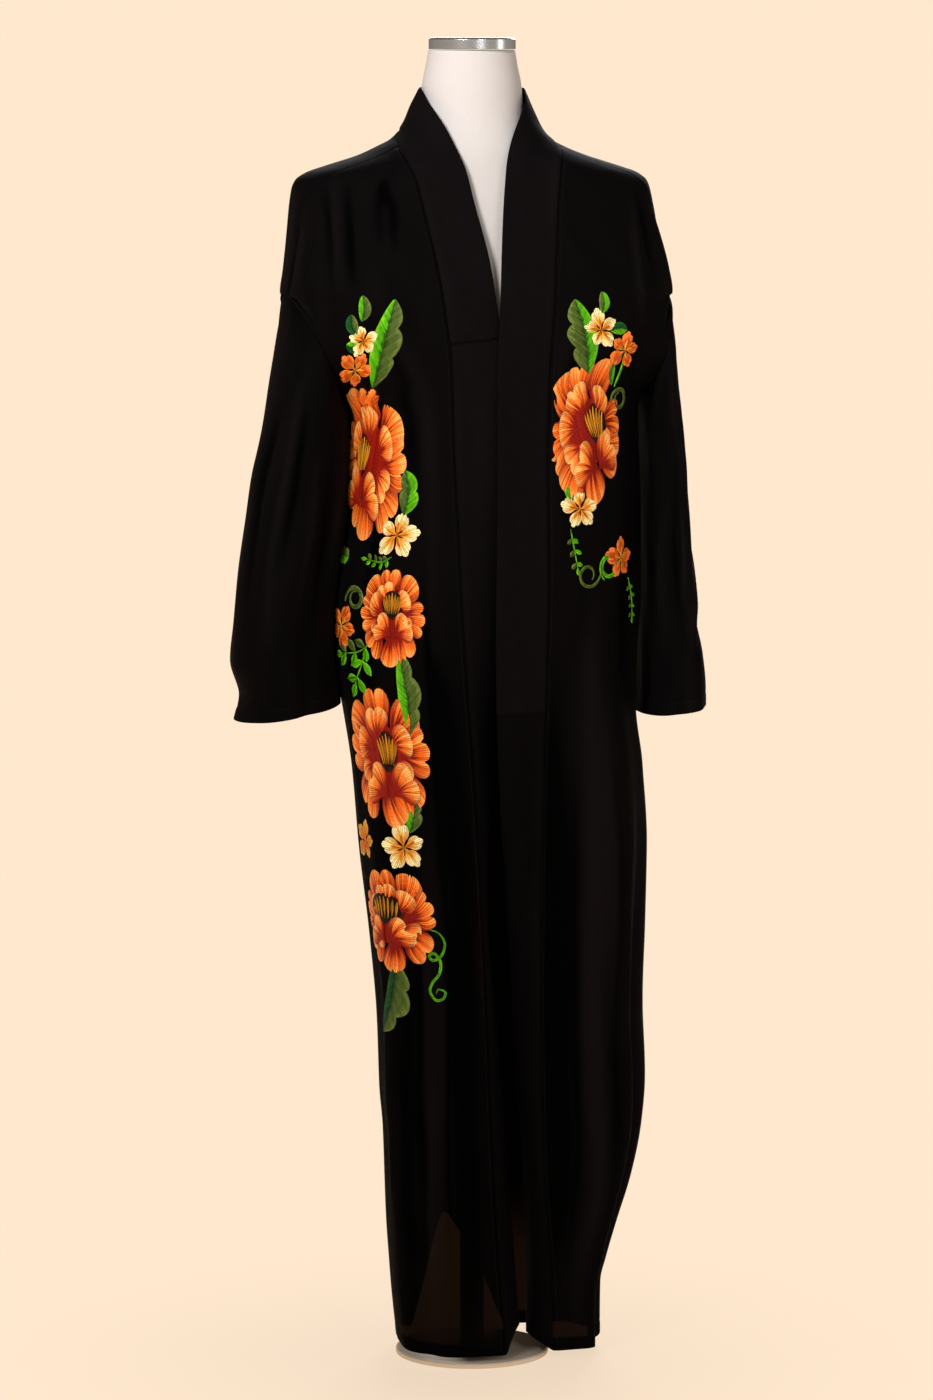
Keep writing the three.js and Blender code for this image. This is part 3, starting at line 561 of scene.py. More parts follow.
def arc_lengths(points, axis):
    """How far each point lies along its row or column, in millimetres."""
    steps = np.linalg.norm(np.diff(points, axis=axis), axis=-1)
    start = np.zeros_like(steps.take([0], axis=axis))
    return np.cumsum(np.concatenate([start, steps], axis=axis), axis=axis)


def between(at, run, values):
    """The vectors at some distances of a run of them."""
    return np.stack([np.interp(at, run, values[:, i]) for i in range(3)], -1)


def crease_height(creases, s, z, girth):
    """The height of the listed creases over points (s degrees, z), each fading out at its ends."""
    total = np.zeros_like(s)
    for out, width, route in creases:
        route = np.array(route, float) * (girth, 1)
        steps = np.linalg.norm(np.diff(route, axis=0), axis=1)
        starts = np.concatenate([[0], np.cumsum(steps)])
        best, where = np.full_like(s, 1e9), np.zeros_like(s)
        for a, b, start, length in zip(route[:-1], route[1:], starts, steps):
            to = np.stack([s * girth - a[0], z - a[1]], -1)
            t = np.clip((to @ (b - a)) / length**2, 0, 1)
            away = np.linalg.norm(to - t[..., None] * (b - a), axis=-1)
            nearer = away < best
            best = np.where(nearer, away, best)
            where = np.where(nearer, start + t * length, where)
        share = where / starts[-1]
        fade = np.sin(np.pi * np.clip(mix(0.04, 0.96, share), 0, 1)) ** 0.8
        total += out * fade * bump(best, width)
    return total


def ripple(s, z, seed, size=1.0):
    """A slight unevenness of hanging cloth, longer up and down than across."""
    random = np.random.default_rng(seed)
    total = np.zeros_like(s)
    for _ in range(9):
        wide, tall = random.uniform(28, 75), random.uniform(120, 420)
        phase, lean = random.uniform(0, 6.3, 2), random.uniform(-0.6, 0.6)
        total += np.sin((s + lean * z * 0.2) * 6.28 / wide + phase[0]) * np.sin(
            z * 6.28 / tall + phase[1]
        )
    return total * size * 0.16


def new_piece(name, mesh, material, replaced=()):
    piece = bpy.data.objects.new(name, mesh)
    bpy.context.scene.collection.objects.link(piece)
    if material is not None:
        mesh.materials.append(material)
    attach(piece, "root")
    if replaced:
        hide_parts(*replaced)
    return piece


def grid_mesh(name, points, uv, closed=False):
    """A smooth mesh from a grid of points in millimetres and its uv in metres."""
    rows, columns = points.shape[:2]
    used = columns - 1 if closed else columns
    index = np.arange(rows * used).reshape(rows, used)
    right = np.roll(index, -1, axis=1) if closed else index
    left = index if closed else index[:, :-1]
    right = right if closed else index[:, 1:]
    faces = np.stack([left[:-1], right[:-1], right[1:], left[1:]], -1).reshape(-1, 4)
    mesh = bpy.data.meshes.new(name)
    mesh.from_pydata((points[:, :used].reshape(-1, 3) * MM).tolist(), [], faces.tolist())
    corners = np.stack([uv[:-1, :-1], uv[:-1, 1:], uv[1:, 1:], uv[1:, :-1]], 2).reshape(-1, 2)
    layer = mesh.uv_layers.new(name="cloth")
    layer.data.foreach_set("uv", corners.ravel())
    mesh.shade_smooth()
    mesh.update()
    return mesh


def thicken(piece, thickness):
    """Gives a sheet its thickness, inwards."""
    shell = piece.modifiers.new("thickness", "SOLIDIFY")
    shell.thickness = thickness * MM
    shell.offset = 1
    shell.use_rim = True


def round_edges(piece, width, angle=30):
    """Rounds the sharp edges of a hard piece."""
    rounding = piece.modifiers.new("edge", "BEVEL")
    rounding.width = width
    rounding.segments = 2
    rounding.limit_method = "ANGLE"
    rounding.angle_limit = math.radians(angle)
    return rounding


def roll(distance):
    """How far a sewn edge turns in, by the distance from it."""
    return -SEAM_ROLL * bump(distance, SEAM_ROLL_WIDTH)


SHEETS = {}  # each panel's piece, flat size and area, and its grid for the embroidery


def cloth_piece(name, points, height, material, thickness, closed=False, thin=1.0):
    """A panel: its surface raised by height along its normals and thickened.

    It carries two values for its material: relief, from a trough (-1) to a ridge (1) with the
    panel's lean added, which paints shade into troughs and light onto ridges, and thin, how much
    light a single layer lets through.
    """
    flat, area, (above, below) = PANELS[name]
    normals = normals_of(points, closed)
    raised = points + normals * height[..., None]
    across, up = arc_lengths(points, 1), arc_lengths(points, 0)
    mesh = grid_mesh(f"{name}_cloth", raised, np.stack([across, up], -1) * MM, closed)
    # Painted light and shade: the lean lightens or darkens the cloth above and below the turn, and
    # relief darkens troughs and lightens ridges.
    lean = mix(below, above, smooth(points[..., 2], *PAINTED_LIGHT_TURNS))
    relief = np.clip(height / RELIEF_SPAN + lean, -1, 1)
    for label, values in (("relief", relief), ("thin", thin)):
        values = np.broadcast_to(values, height.shape)
        values = values[:, :-1] if closed else values
        mesh.attributes.new(label, "FLOAT", "POINT").data.foreach_set("value", values.ravel())
    piece = new_piece(f"{name}_cloth", mesh, material, (name,))
    thicken(piece, thickness)
    SHEETS[name] = dict(piece=piece, flat=flat, area=area, points=raised, normals=normals, s=across)


# ---------------------------------------------------------------- materials


def new_material(name, color, roughness):
    material = bpy.data.materials.new(name)
    material.use_nodes = True
    shader = material.node_tree.nodes["Principled BSDF"]
    shader.inputs["Base Color"].default_value = (*color, 1)
    shader.inputs["Roughness"].default_value = roughness
    return material, material.node_tree, shader


def node(tree, kind, **inputs):
    """A shader node with some of its inputs set; a key's underscores stand for spaces."""
    made = tree.nodes.new(kind)
    for name, value in inputs.items():
        made.inputs[name.replace("_", " ")].default_value = value
    return made


def calc(tree, operation, *values):
    """A maths node's output; the values are numbers or other nodes' outputs."""
    made = tree.nodes.new("ShaderNodeMath")
    made.operation = operation
    for socket, value in zip(made.inputs, values):
        if isinstance(value, bpy.types.NodeSocket):
            tree.links.new(value, socket)
        else:
            socket.default_value = value
    return made.outputs[0]


def blend(tree, factor, first, second, mode="MIX"):
    """A mix of two colours, each a colour or another node's output."""
    made = tree.nodes.new("ShaderNodeMix")
    made.data_type = "RGBA"
    made.blend_type = mode
    for name, value in (("Factor", factor), ("A", first), ("B", second)):
        if isinstance(value, bpy.types.NodeSocket):
            tree.links.new(value, made.inputs[name])
        else:
            made.inputs[name].default_value = value
    return made.outputs["Result"]


def toned(tree, color, tone):
    """A colour darkened or lightened by a value."""
    grey = tree.nodes.new("ShaderNodeCombineColor")
    for channel in ("Red", "Green", "Blue"):
        tree.links.new(tone, grey.inputs[channel])
    return blend(tree, 1.0, color, grey.outputs["Color"], "MULTIPLY")


def mix_shaders(tree, factor, first, second, output):
    """Shows a mix of two shaders' outputs as a material's or the world's surface."""
    both = tree.nodes.new("ShaderNodeMixShader")
    for value, socket in zip((factor, first, second), both.inputs):
        tree.links.new(value, socket)
    tree.links.new(both.outputs["Shader"], tree.nodes[output].inputs["Surface"])


def effect_group(name, inputs, outputs):
    """A shader node group with named inputs and outputs: (name, socket kind, default)."""
    tree = bpy.data.node_groups.new(name, "ShaderNodeTree")
    for label, kind, default in inputs:
        socket = tree.interface.new_socket(label, in_out="INPUT", socket_type=kind)
        socket.default_value = default
    for label, kind in outputs:
        tree.interface.new_socket(label, in_out="OUTPUT", socket_type=kind)
    return tree, tree.nodes.new("NodeGroupInput"), tree.nodes.new("NodeGroupOutput")


def grain_group():
    """Fine grain of cloth or paint: a tone between two colours and a bumped normal."""
    tree, given, result = effect_group(
        "grain",
        [
            ("Scale", "NodeSocketFloat", 900.0),
            ("Slub Scale", "NodeSocketFloat", 60.0),
            ("Strength", "NodeSocketFloat", 0.35),
            ("Distance", "NodeSocketFloat", 0.0003),
            ("Dark", "NodeSocketColor", (0, 0, 0, 1)),
            ("Light", "NodeSocketColor", (1, 1, 1, 1)),
        ],
        [("Color", "NodeSocketColor"), ("Normal", "NodeSocketVector")],
    )
    place = tree.nodes.new("ShaderNodeTexCoord")
    grain = node(tree, "ShaderNodeTexNoise", Detail=3.0, Roughness=0.6)
    slub = node(tree, "ShaderNodeTexNoise", Detail=4.0, Roughness=0.6)
    for texture, scale in ((grain, "Scale"), (slub, "Slub Scale")):
        tree.links.new(place.outputs["UV"], texture.inputs["Vector"])
        tree.links.new(given.outputs[scale], texture.inputs["Scale"])
    halves = [calc(tree, "MULTIPLY", texture.outputs["Fac"], 0.5) for texture in (grain, slub)]
    tone = calc(tree, "ADD", *halves)
    color = blend(tree, tone, given.outputs["Dark"], given.outputs["Light"])
    raised = tree.nodes.new("ShaderNodeBump")
    tree.links.new(given.outputs["Strength"], raised.inputs["Strength"])
    tree.links.new(given.outputs["Distance"], raised.inputs["Distance"])
    tree.links.new(grain.outputs["Fac"], raised.inputs["Height"])
    tree.links.new(color, result.inputs["Color"])
    tree.links.new(raised.outputs["Normal"], result.inputs["Normal"])
    return tree


def stitching_group():
    """Embroidery thread: colour from foot to rim, a tone per thread, relief, painted shade."""
    tree, given, result = effect_group(
        "stitching",
        [
            ("Foot", "NodeSocketColor", (0, 0, 0, 1)),
            ("Middle", "NodeSocketColor", (0.5, 0.5, 0.5, 1)),
            ("Rim", "NodeSocketColor", (1, 1, 1, 1)),
            ("Thread Width", "NodeSocketFloat", 0.8),
            ("Stitch Length", "NodeSocketFloat", 8.0),
            ("Foot Ends", "NodeSocketFloat", 0.4),
            ("Rim Starts", "NodeSocketFloat", 0.8),
            ("Side Line", "NodeSocketFloat", 0.0),
        ],
        [("Color", "NodeSocketColor"), ("Normal", "NodeSocketVector")],
    )
    parts = {}
    for name in ("stitch", "shade"):
        layer = tree.nodes.new("ShaderNodeUVMap")
        layer.uv_map = name
        parts[name] = tree.nodes.new("ShaderNodeSeparateXYZ")
        tree.links.new(layer.outputs["UV"], parts[name].inputs["Vector"])
    across = calc(tree, "DIVIDE", parts["stitch"].outputs["X"], given.outputs["Thread Width"])
    thread = tree.nodes.new("ShaderNodeTexWhiteNoise")
    thread.noise_dimensions = "1D"
    tree.links.new(calc(tree, "FLOOR", across), thread.inputs["W"])
    own = thread.outputs["Value"]
    place = calc(tree, "SUBTRACT", calc(tree, "MULTIPLY", calc(tree, "FRACT", across), 2.0), 1.0)
    round_top = calc(tree, "SUBTRACT", 1.0, calc(tree, "MULTIPLY", place, place))
    run = calc(tree, "DIVIDE", parts["stitch"].outputs["Y"], given.outputs["Stitch Length"])
    turn = calc(tree, "FRACT", calc(tree, "ADD", run, calc(tree, "MULTIPLY", own, 7.0)))
    dip = calc(tree, "MULTIPLY", turn, calc(tree, "SUBTRACT", 1.0, turn))
    dip = calc(tree, "MINIMUM", calc(tree, "MULTIPLY", dip, 9.0), 1.0)
    relief = calc(tree, "MULTIPLY", round_top, calc(tree, "MULTIPLY_ADD", dip, 0.5, 0.5))
    rise = parts["shade"].outputs["Y"]
    ragged = calc(tree, "ADD", rise, calc(tree, "MULTIPLY", calc(tree, "SUBTRACT", own, 0.5), 0.22))
    steps = []
    for name, width in (("Foot Ends", 0.14), ("Rim Starts", 0.10)):
        span = node(tree, "ShaderNodeMapRange")
        span.interpolation_type = "SMOOTHSTEP"
        tree.links.new(calc(tree, "SUBTRACT", given.outputs[name], width), span.inputs["From Min"])
        tree.links.new(calc(tree, "ADD", given.outputs[name], width), span.inputs["From Max"])
        tree.links.new(ragged, span.inputs["Value"])
        steps.append(span.outputs["Result"])
    # The dark sides: the foot's darker thread colour, which also paints shade where petals overlap.
    side = calc(tree, "SUBTRACT", calc(tree, "MULTIPLY", parts["shade"].outputs["X"], 2.0), 1.0)
    side = calc(tree, "POWER", calc(tree, "ABSOLUTE", side), 4.0)
    side = calc(tree, "MULTIPLY", side, given.outputs["Side Line"])
    color = blend(tree, steps[0], given.outputs["Foot"], given.outputs["Middle"])
    color = blend(tree, steps[1], color, given.outputs["Rim"])
    color = blend(tree, calc(tree, "MINIMUM", side, 1.0), color, given.outputs["Foot"])
    # A random tone for each thread, and painted shade and light from the relief: dark in the
    # grooves and at stitch ends, light on the threads' tops.
    tone = calc(tree, "ADD", calc(tree, "MULTIPLY", own, 0.42), 0.16)
    tone = calc(tree, "ADD", tone, calc(tree, "MULTIPLY", relief, 0.85))
    raised = node(tree, "ShaderNodeBump", Strength=0.8, Distance=0.00035)
    tree.links.new(relief, raised.inputs["Height"])
    tree.links.new(toned(tree, color, tone), result.inputs["Color"])
    tree.links.new(raised.outputs["Normal"], result.inputs["Normal"])
    return tree


def painted_fold_shade_group():
    """Painted shade in a cloth's troughs, painted light on its ridges, darker on a doubled hem."""
    tree, given, result = effect_group(
        "folds",
        [
            ("Color", "NodeSocketColor", (1, 1, 1, 1)),
            ("Relief", "NodeSocketFloat", 0.0),
            ("Thin", "NodeSocketFloat", 1.0),
            ("Trough", "NodeSocketFloat", -0.62),
            ("Ridge Light", "NodeSocketFloat", 1.8),
            ("Hem Tone", "NodeSocketFloat", 0.6),
        ],
        [("Color", "NodeSocketColor")],
    )
    # Painted shade and light: the tone falls to black at the trough's relief and rises above 1 on a
    # ridge.
    depth = node(tree, "ShaderNodeMapRange", From_Max=1.0, To_Min=0.0)
    for label, socket in (("Trough", "From Min"), ("Ridge Light", "To Max"), ("Relief", "Value")):
        tree.links.new(given.outputs[label], depth.inputs[socket])
    above = calc(tree, "SUBTRACT", 1.0, given.outputs["Hem Tone"])
    hem = calc(tree, "MULTIPLY_ADD", given.outputs["Thin"], above, given.outputs["Hem Tone"])
    tone = calc(tree, "MULTIPLY", depth.outputs["Result"], hem)
    tree.links.new(toned(tree, given.outputs["Color"], tone), result.inputs["Color"])
    return tree


def add_group(tree, group, shader, **inputs):
    """Puts an effect group in a material and joins its colour and normal to the shader."""
    effect = tree.nodes.new("ShaderNodeGroup")
    effect.node_tree = group
    for name, value in inputs.items():
        effect.inputs[name.replace("_", " ")].default_value = value
    tree.links.new(effect.outputs["Color"], shader.inputs["Base Color"])
    tree.links.new(effect.outputs["Normal"], shader.inputs["Normal"])
    return effect


def crepe_material(name, sheer):
    """Black crepe; a single layer lets a trace of light through."""
    material, tree, shader = new_material(name, (0.0045, 0.0033, 0.0036), 0.8)
    shader.inputs["Specular IOR Level"].default_value = 0.02
    shader.inputs["Sheen Weight"].default_value = 0.002
    shader.inputs["Sheen Roughness"].default_value = 0.45
    shader.inputs["Sheen Tint"].default_value = (1.0, 0.86, 0.90, 1)
    grain = add_group(
        tree, GRAIN, shader, Scale=900.0, Slub_Scale=60.0, Strength=0.35, Distance=0.0004,
        Dark=(0.0019, 0.0014, 0.0015, 1), Light=(0.0052, 0.0038, 0.0043, 1),
    )
    # Painted shade and light: relief darkens troughs and lightens ridges, and thin darkens a
    # doubled hem and the back's upper part.
    relief, thin = (tree.nodes.new("ShaderNodeAttribute") for _ in range(2))
    relief.attribute_name, thin.attribute_name = "relief", "thin"
    folds = tree.nodes.new("ShaderNodeGroup")
    folds.node_tree = PAINTED_FOLD_SHADE
    tree.links.new(grain.outputs["Color"], folds.inputs["Color"])
    tree.links.new(relief.outputs["Fac"], folds.inputs["Relief"])
    tree.links.new(thin.outputs["Fac"], folds.inputs["Thin"])
    tree.links.new(folds.outputs["Color"], shader.inputs["Base Color"])
    if sheer:
        through = node(tree, "ShaderNodeBsdfTransparent", Color=(1.0, 0.72, 0.55, 1))
        share = calc(tree, "MULTIPLY", thin.outputs["Fac"], sheer)
        mix_shaders(tree, share, shader.outputs["BSDF"], through.outputs["BSDF"], "Material Output")
    return material


def linen_material():
    material, tree, shader = new_material("linen", (0.86, 0.78, 0.68), 0.9)
    shader.inputs["Specular IOR Level"].default_value = 0.2
    add_group(
        tree, GRAIN, shader, Scale=700.0, Slub_Scale=160.0, Strength=0.4, Distance=0.0003,
        Dark=(0.49, 0.455, 0.44, 1), Light=(0.57, 0.53, 0.51, 1),
    )
    return material


def steel_material():
    material, tree, shader = new_material("turned_steel", (0.62, 0.65, 0.68), 0.2)
    shader.inputs["Metallic"].default_value = 1.0
    place = tree.nodes.new("ShaderNodeTexCoord")
    rings = node(tree, "ShaderNodeTexNoise", Scale=1.0, Detail=3.0)
    stretch = node(tree, "ShaderNodeMapping", Scale=(4, 4, 2500))
    tree.links.new(place.outputs["Object"], stretch.inputs["Vector"])
    tree.links.new(stretch.outputs["Vector"], rings.inputs["Vector"])
    span = node(tree, "ShaderNodeMapRange", To_Min=0.14, To_Max=0.30)
    tree.links.new(rings.outputs["Fac"], span.inputs["Value"])
    tree.links.new(span.outputs["Result"], shader.inputs["Roughness"])
    return material


def paint_material():
    material, tree, shader = new_material("cream_paint", (0.80, 0.66, 0.50), 0.6)
    shader.inputs["Specular IOR Level"].default_value = 0.1
    add_group(
        tree, GRAIN, shader, Scale=400.0, Slub_Scale=90.0, Strength=0.2, Distance=0.0002,
        Dark=(0.82, 0.67, 0.51, 1), Light=(0.88, 0.72, 0.55, 1),
    )
    return material


def thread_material(name, foot, middle, rim, foot_ends, rim_starts, side_line):
    material, tree, shader = new_material(f"thread_{name}", middle, 0.5)
    shader.inputs["Specular IOR Level"].default_value = 0.10
    add_group(
        tree, STITCHING, shader, Foot=(*foot, 1), Middle=(*middle, 1), Rim=(*rim, 1),
        Thread_Width=2.3, Stitch_Length=5.0, Foot_Ends=foot_ends, Rim_Starts=rim_starts,
        Side_Line=side_line,
    )
    return material


GRAIN = grain_group()
STITCHING = stitching_group()
PAINTED_FOLD_SHADE = painted_fold_shade_group()
CREPE = crepe_material("crepe", 0.085)
DOUBLE_CREPE = crepe_material("crepe_double", 0)
LINEN = linen_material()
STEEL = steel_material()
PAINT = paint_material()
# Each thread's colours at the foot, middle and rim of a patch, where the foot ends and the rim
# starts, and how dark the patch's sides are: a darker thread that also stands for painted shade
# between petals.
THREAD_RECIPES = {
    "rose": ((0.26, 0.007, 0.002), (0.96, 0.155, 0.012), (1.0, 0.35, 0.075), 0.66, 0.90, 1.3),
    "rose_light": ((0.32, 0.010, 0.003), (1.0, 0.20, 0.020), (1.0, 0.45, 0.12), 0.58, 0.84, 1.3),
    "orange": ((0.78, 0.24, 0.015), (0.62, 0.075, 0.006), (0.88, 0.20, 0.035), 0.36, 0.76, 0.8),
    "cream": ((0.80, 0.20, 0.01), (0.90, 0.52, 0.10), (0.93, 0.78, 0.40), 0.42, 0.68, 0.6),
    "yellow": ((0.50, 0.10, 0.008), (0.70, 0.24, 0.014), (0.76, 0.36, 0.05), 0.30, 0.75, 0.4),
    "leaf": ((0.016, 0.13, 0.001), (0.080, 0.38, 0.002), (0.15, 0.50, 0.006), 0.14, 0.70, 0.0),
    "olive": ((0.024, 0.052, 0.005), (0.070, 0.115, 0.016), (0.13, 0.18, 0.034), 0.16, 0.72, 0.0),
    "deep_leaf": ((0.002, 0.025, 0.006), (0.004, 0.065, 0.01), (0.01, 0.1, 0.016), 0.2, 0.75, 0.0),
    "eye": ((0.003, 0.002, 0.002), (0.007, 0.003, 0.002), (0.06, 0.006, 0.003), 0.4, 0.93, 0.0),
    "stamen": ((0.34, 0.10, 0.004), (0.55, 0.23, 0.010), (0.40, 0.14, 0.006), 0.3, 0.9, 0.0),
    "black": ((0.005, 0.004, 0.0045), (0.008, 0.006, 0.007), (0.010, 0.008, 0.009), 0.3, 0.9, 0.0),
}
THREADS = {name: thread_material(name, *recipe) for name, recipe in THREAD_RECIPES.items()}


# ---------------------------------------------------------------- the dress form and its stand


def form_cover():
    """The dress form under its linen cover, closed below and at the neck's top."""
    heights = np.concatenate(
        [np.linspace(800, 1350, 56), np.linspace(1360, 1440, 28), np.linspace(1445, 1528, 24)]
    )
    turn = np.radians(np.linspace(0, 360, 121))
    z = heights[:, None]
    half, front, back = (column(FORM_SECTIONS, name, z) for name in ("half", "front", "back"))
    deep = np.where(np.cos(turn) > 0, front, back)
    points = np.stack(
        [-half * np.sin(turn), -deep * np.cos(turn) + FORM_SHIFT, z + 0 * turn], axis=-1
    )
    uv = np.stack([arc_lengths(points, 1), arc_lengths(points, 0)], -1) * MM
    piece = new_piece(
        "form_cover", grid_mesh("form_cover", points, uv, True), LINEN, ("form_body",)
    )
    mesh = piece.data
    count = points.shape[1] - 1
    last = len(mesh.vertices)
    rings = [list(range(count)), list(range(last - count, last))]
    vertices = [v.co.copy() for v in mesh.vertices]
    faces = [list(p.vertices) for p in mesh.polygons] + [rings[0][::-1], rings[1]]
    closed = bpy.data.meshes.new("form_cover_closed")
    closed.from_pydata(vertices, [], faces)
    layer = closed.uv_layers.new(name="cloth")
    flat = [tuple(d.uv) for d in mesh.uv_layers["cloth"].data]
    flat += [(v.x, v.y) for ring in (rings[0][::-1], rings[1]) for v in (vertices[i] for i in ring)]
    layer.data.foreach_set("uv", np.array(flat).ravel())
    closed.shade_smooth()
    closed.materials.append(LINEN)
    piece.data = closed
    bpy.data.meshes.remove(mesh)
    round_edges(piece, 1.5 * MM)


def turned_piece(name, profile, sides, material, replaced):
    """A round piece on the stand's axis, from its profile of radius and height pairs."""
    rings = [(r, z) for r, z in profile if r > 0]
    vertices = [(0, 0, profile[0][1] * MM), (0, 0, profile[-1][1] * MM)]
    for radius, z in rings:
        for i in range(sides):
            a = 2 * math.pi * i / sides
            vertices.append((radius * math.cos(a) * MM, radius * math.sin(a) * MM, z * MM))
    faces = []
    for i in range(sides):
        j = (i + 1) % sides
        faces.append((0, 2 + j, 2 + i))
        top = 2 + (len(rings) - 1) * sides
        faces.append((1, top + i, top + j))
        for ring in range(len(rings) - 1):
            low = 2 + ring * sides
            faces.append((low + i, low + j, low + sides + j, low + sides + i))
    mesh = bpy.data.meshes.new(name)
    mesh.from_pydata(vertices, [], faces)
    mesh.shade_smooth()
    piece = new_piece(name, mesh, material, replaced)
    round_edges(piece, 0.4 * MM, 25).harden_normals = True


def stand():
    for name, sizes, sides, material, slot, replaced in (
        ("turned_neck_cap", CAP, 120, STEEL, "steel", "neck_cap"),
        ("painted_pole", POLE, 64, PAINT, "painted_steel", "form_pole"),
        ("painted_base", BASE, 128, PAINT, "painted_steel", "form_base"),
    ):
        radius, foot, top, bevel = (sizes[key] for key in ("radius", "foot", "top", "bevel"))
        shoulder = [(radius, top - bevel), (radius - bevel, top)] if bevel else [(radius, top)]
        profile = [(0, foot), (radius, foot), *shoulder, (0, top)]
        turned_piece(name, profile, sides, material, (replaced,))


# ---------------------------------------------------------------- the robe's panels


def hem_relief(from_edge):
    """The doubled hem stands a little proud, with a dent along its stitching."""
    inside = 1 - smooth(from_edge, HEM_DEPTH - 1.5, HEM_DEPTH + 1)
    return HEM_RISE * inside - 0.5 * bump(from_edge - HEM_DEPTH, 1.6)


def body_heights(top, step):
    """Heights from the hem up, closer over the hem and the shoulder."""
    low = np.arange(HEM, 36, 1.6)
    middle = np.arange(low[-1] + 3, 1358, step)
    high = np.arange(middle[-1] + 2.4, top - 1.2, 2.2)
    return np.unique(np.concatenate([low, middle, [UNDERARM, SHOULDER_DROP], high, [top]]))


def panel(name, psi_from, psi_to, heights, columns, seed, band_edge=None):
    """A body panel between two angles at each height; its sewn edges turn in, most at the band."""
    u = closer_at_ends(columns)
    z = heights[:, None] + 0 * u
    psi = mix(psi_from[:, None], psi_to[:, None], u)
    points = body(psi, z)
    s = arc_lengths(points, 1)
    height = crease_height(BODY_CREASES[name], psi, z, GIRTH_PER_DEGREE)
    height += ripple(s, z, seed)
    height += hem_relief(z - HEM)
    height *= 1 - 0.75 * smooth(z, 1365, 1400)  # the cloth lies still over the shoulder
    for edge, distance in (("start", s), ("end", s[:, -1:] - s)):
        height *= 1 - bump(distance, SEAM_CALM)
        height += roll(distance) * (BAND_SEAM_ROLLS if edge == band_edge else SIDE_SEAM_ROLLS)
    up = arc_lengths(points, 0)
    from_top = up[-1:] - up
    height = height * (1 - bump(from_top, SEAM_CALM)) + roll(from_top)
    thin = smooth(z, HEM + HEM_DEPTH, HEM + HEM_DEPTH + 1.5)
    # Painted shade: above these heights the back's cloth is darker and lets less light through.
    if name == "back":
        thin = thin * (1 - 0.8 * smooth(z, *BACK_PAINTED_SHADE))
    cloth_piece(name, points, height, CREPE, CLOTH, thin=thin)
    SHEETS[name].update(z=heights, psi=psi)


def body_panels():
    heights = body_heights(SEAM_TOP, 5.0)
    band, edge = band_round("right", heights), side_round(heights)
    panel("front_right", band, edge, heights, 51, 11, "start")
    band = band_round("left", heights)
    panel("front_left", 360 - edge, 360 - band, heights, 51, 23, "end")
    heights = body_heights(NECK_SEAM, 6.0)
    just_behind = 1e-6
    above = heights > SEAM_TOP
    start, end = (
        np.where(above, band_round(side, heights), side_round(heights)) + just_behind
        for side in ("right", "left")
    )
    panel("back", start, 360 - end, heights, 85, 37)


def sleeves():
    ring = np.concatenate(
        [np.linspace(0, 0.3, 8)[:-1], np.linspace(0.3, 9.6, 104), np.linspace(9.64, 10, 9)]
    )
    phi = np.linspace(0, 360, 121)
    outer = np.clip(np.cos(np.radians(phi)), 0, 1)
    from_fold = np.minimum(phi, 360 - phi) / 20
    for side, seed in (("right", 51), ("left", 67)):
        points = sleeve_surface(side, ring[:, None], phi)
        z, s, up = points[..., 2], arc_lengths(points, 1), arc_lengths(points, 0)
        height = crease_height(SLEEVE_CREASES[side], phi + 0 * z, z, SLEEVE_GIRTH_PER_DEGREE)
        height += ripple(s, z, seed, 1.2) * np.clip(from_fold, 0, 1)
        height += hem_relief(up[-1:] - up)
        height = height * smooth(up, 0, 22) + roll(up)
        height -= 2.2 * bump(up, 30) * outer  # eases the step at the shoulder's outline
        # Rows run down and, on the left, columns run against psi: the normals have to face out.
        points, height = points[::-1], height[::-1]
        if side == "right":
            points, height = points[:, ::-1], height[:, ::-1]
        cloth_piece(f"sleeve_{side}", points, height, DOUBLE_CREPE, CLOTH, closed=True)


def band_pieces():
    """The neckband in its three lengths, folded double along its free edge."""
    u = np.concatenate([[0, 0.02, 0.045, 0.08], np.linspace(0.12, 0.94, 15), [0.97, 0.985, 1]])
    up = body_heights(NECK_SEAM, 4.2)
    join = {side: np.searchsorted(up, z) for side, z in BAND_JOIN.items()}
    lower_right = band_surface("right", up[: join["right"] + 1], u)
    neck = np.concatenate(
        [
            band_surface("right", up[join["right"] :], u),
            collar_surface(np.linspace(90, 270, 73)[1:-1], u),
            band_surface("left", up[join["left"] :][::-1], u),
        ]
    )
    lower_left = band_surface("left", up[: join["left"] + 1][::-1], u)
    for name, points, joins in (
        ("band_right_lower", lower_right, (-1,)),
        ("band_neck", neck, (0, -1)),
        ("band_left_lower", lower_left, (0,)),
    ):
        points = points[:, ::-1]  # turned round, the columns run with psi
        from_edge = arc_lengths(points, 1)
        from_seam = from_edge[:, -1:] - from_edge
        s = arc_lengths(points, 0)
        height = ripple(from_seam, s, len(name), 0.8)
        height += roll(from_seam) + 0.5 * bump(from_seam - 5, 4)
        for end in joins:
            away = s if end == 0 else s[-1:] - s
            height = height * (1 - bump(away, 6)) + roll(away)
        height -= 0.6 * bump(from_edge, 1.5)
        cloth_piece(name, points, height, DOUBLE_CREPE, BAND_CLOTH)


# ---------------------------------------------------------------- embroidery

UPRIGHT_FROM = 1125  # patches above this height stand upright, others follow the body's angles
EDGE_SINK = 0.35  # how far the outline of a stitched patch sits below its middle
MARGIN = 4  # embroidery keeps this far from a panel's edges


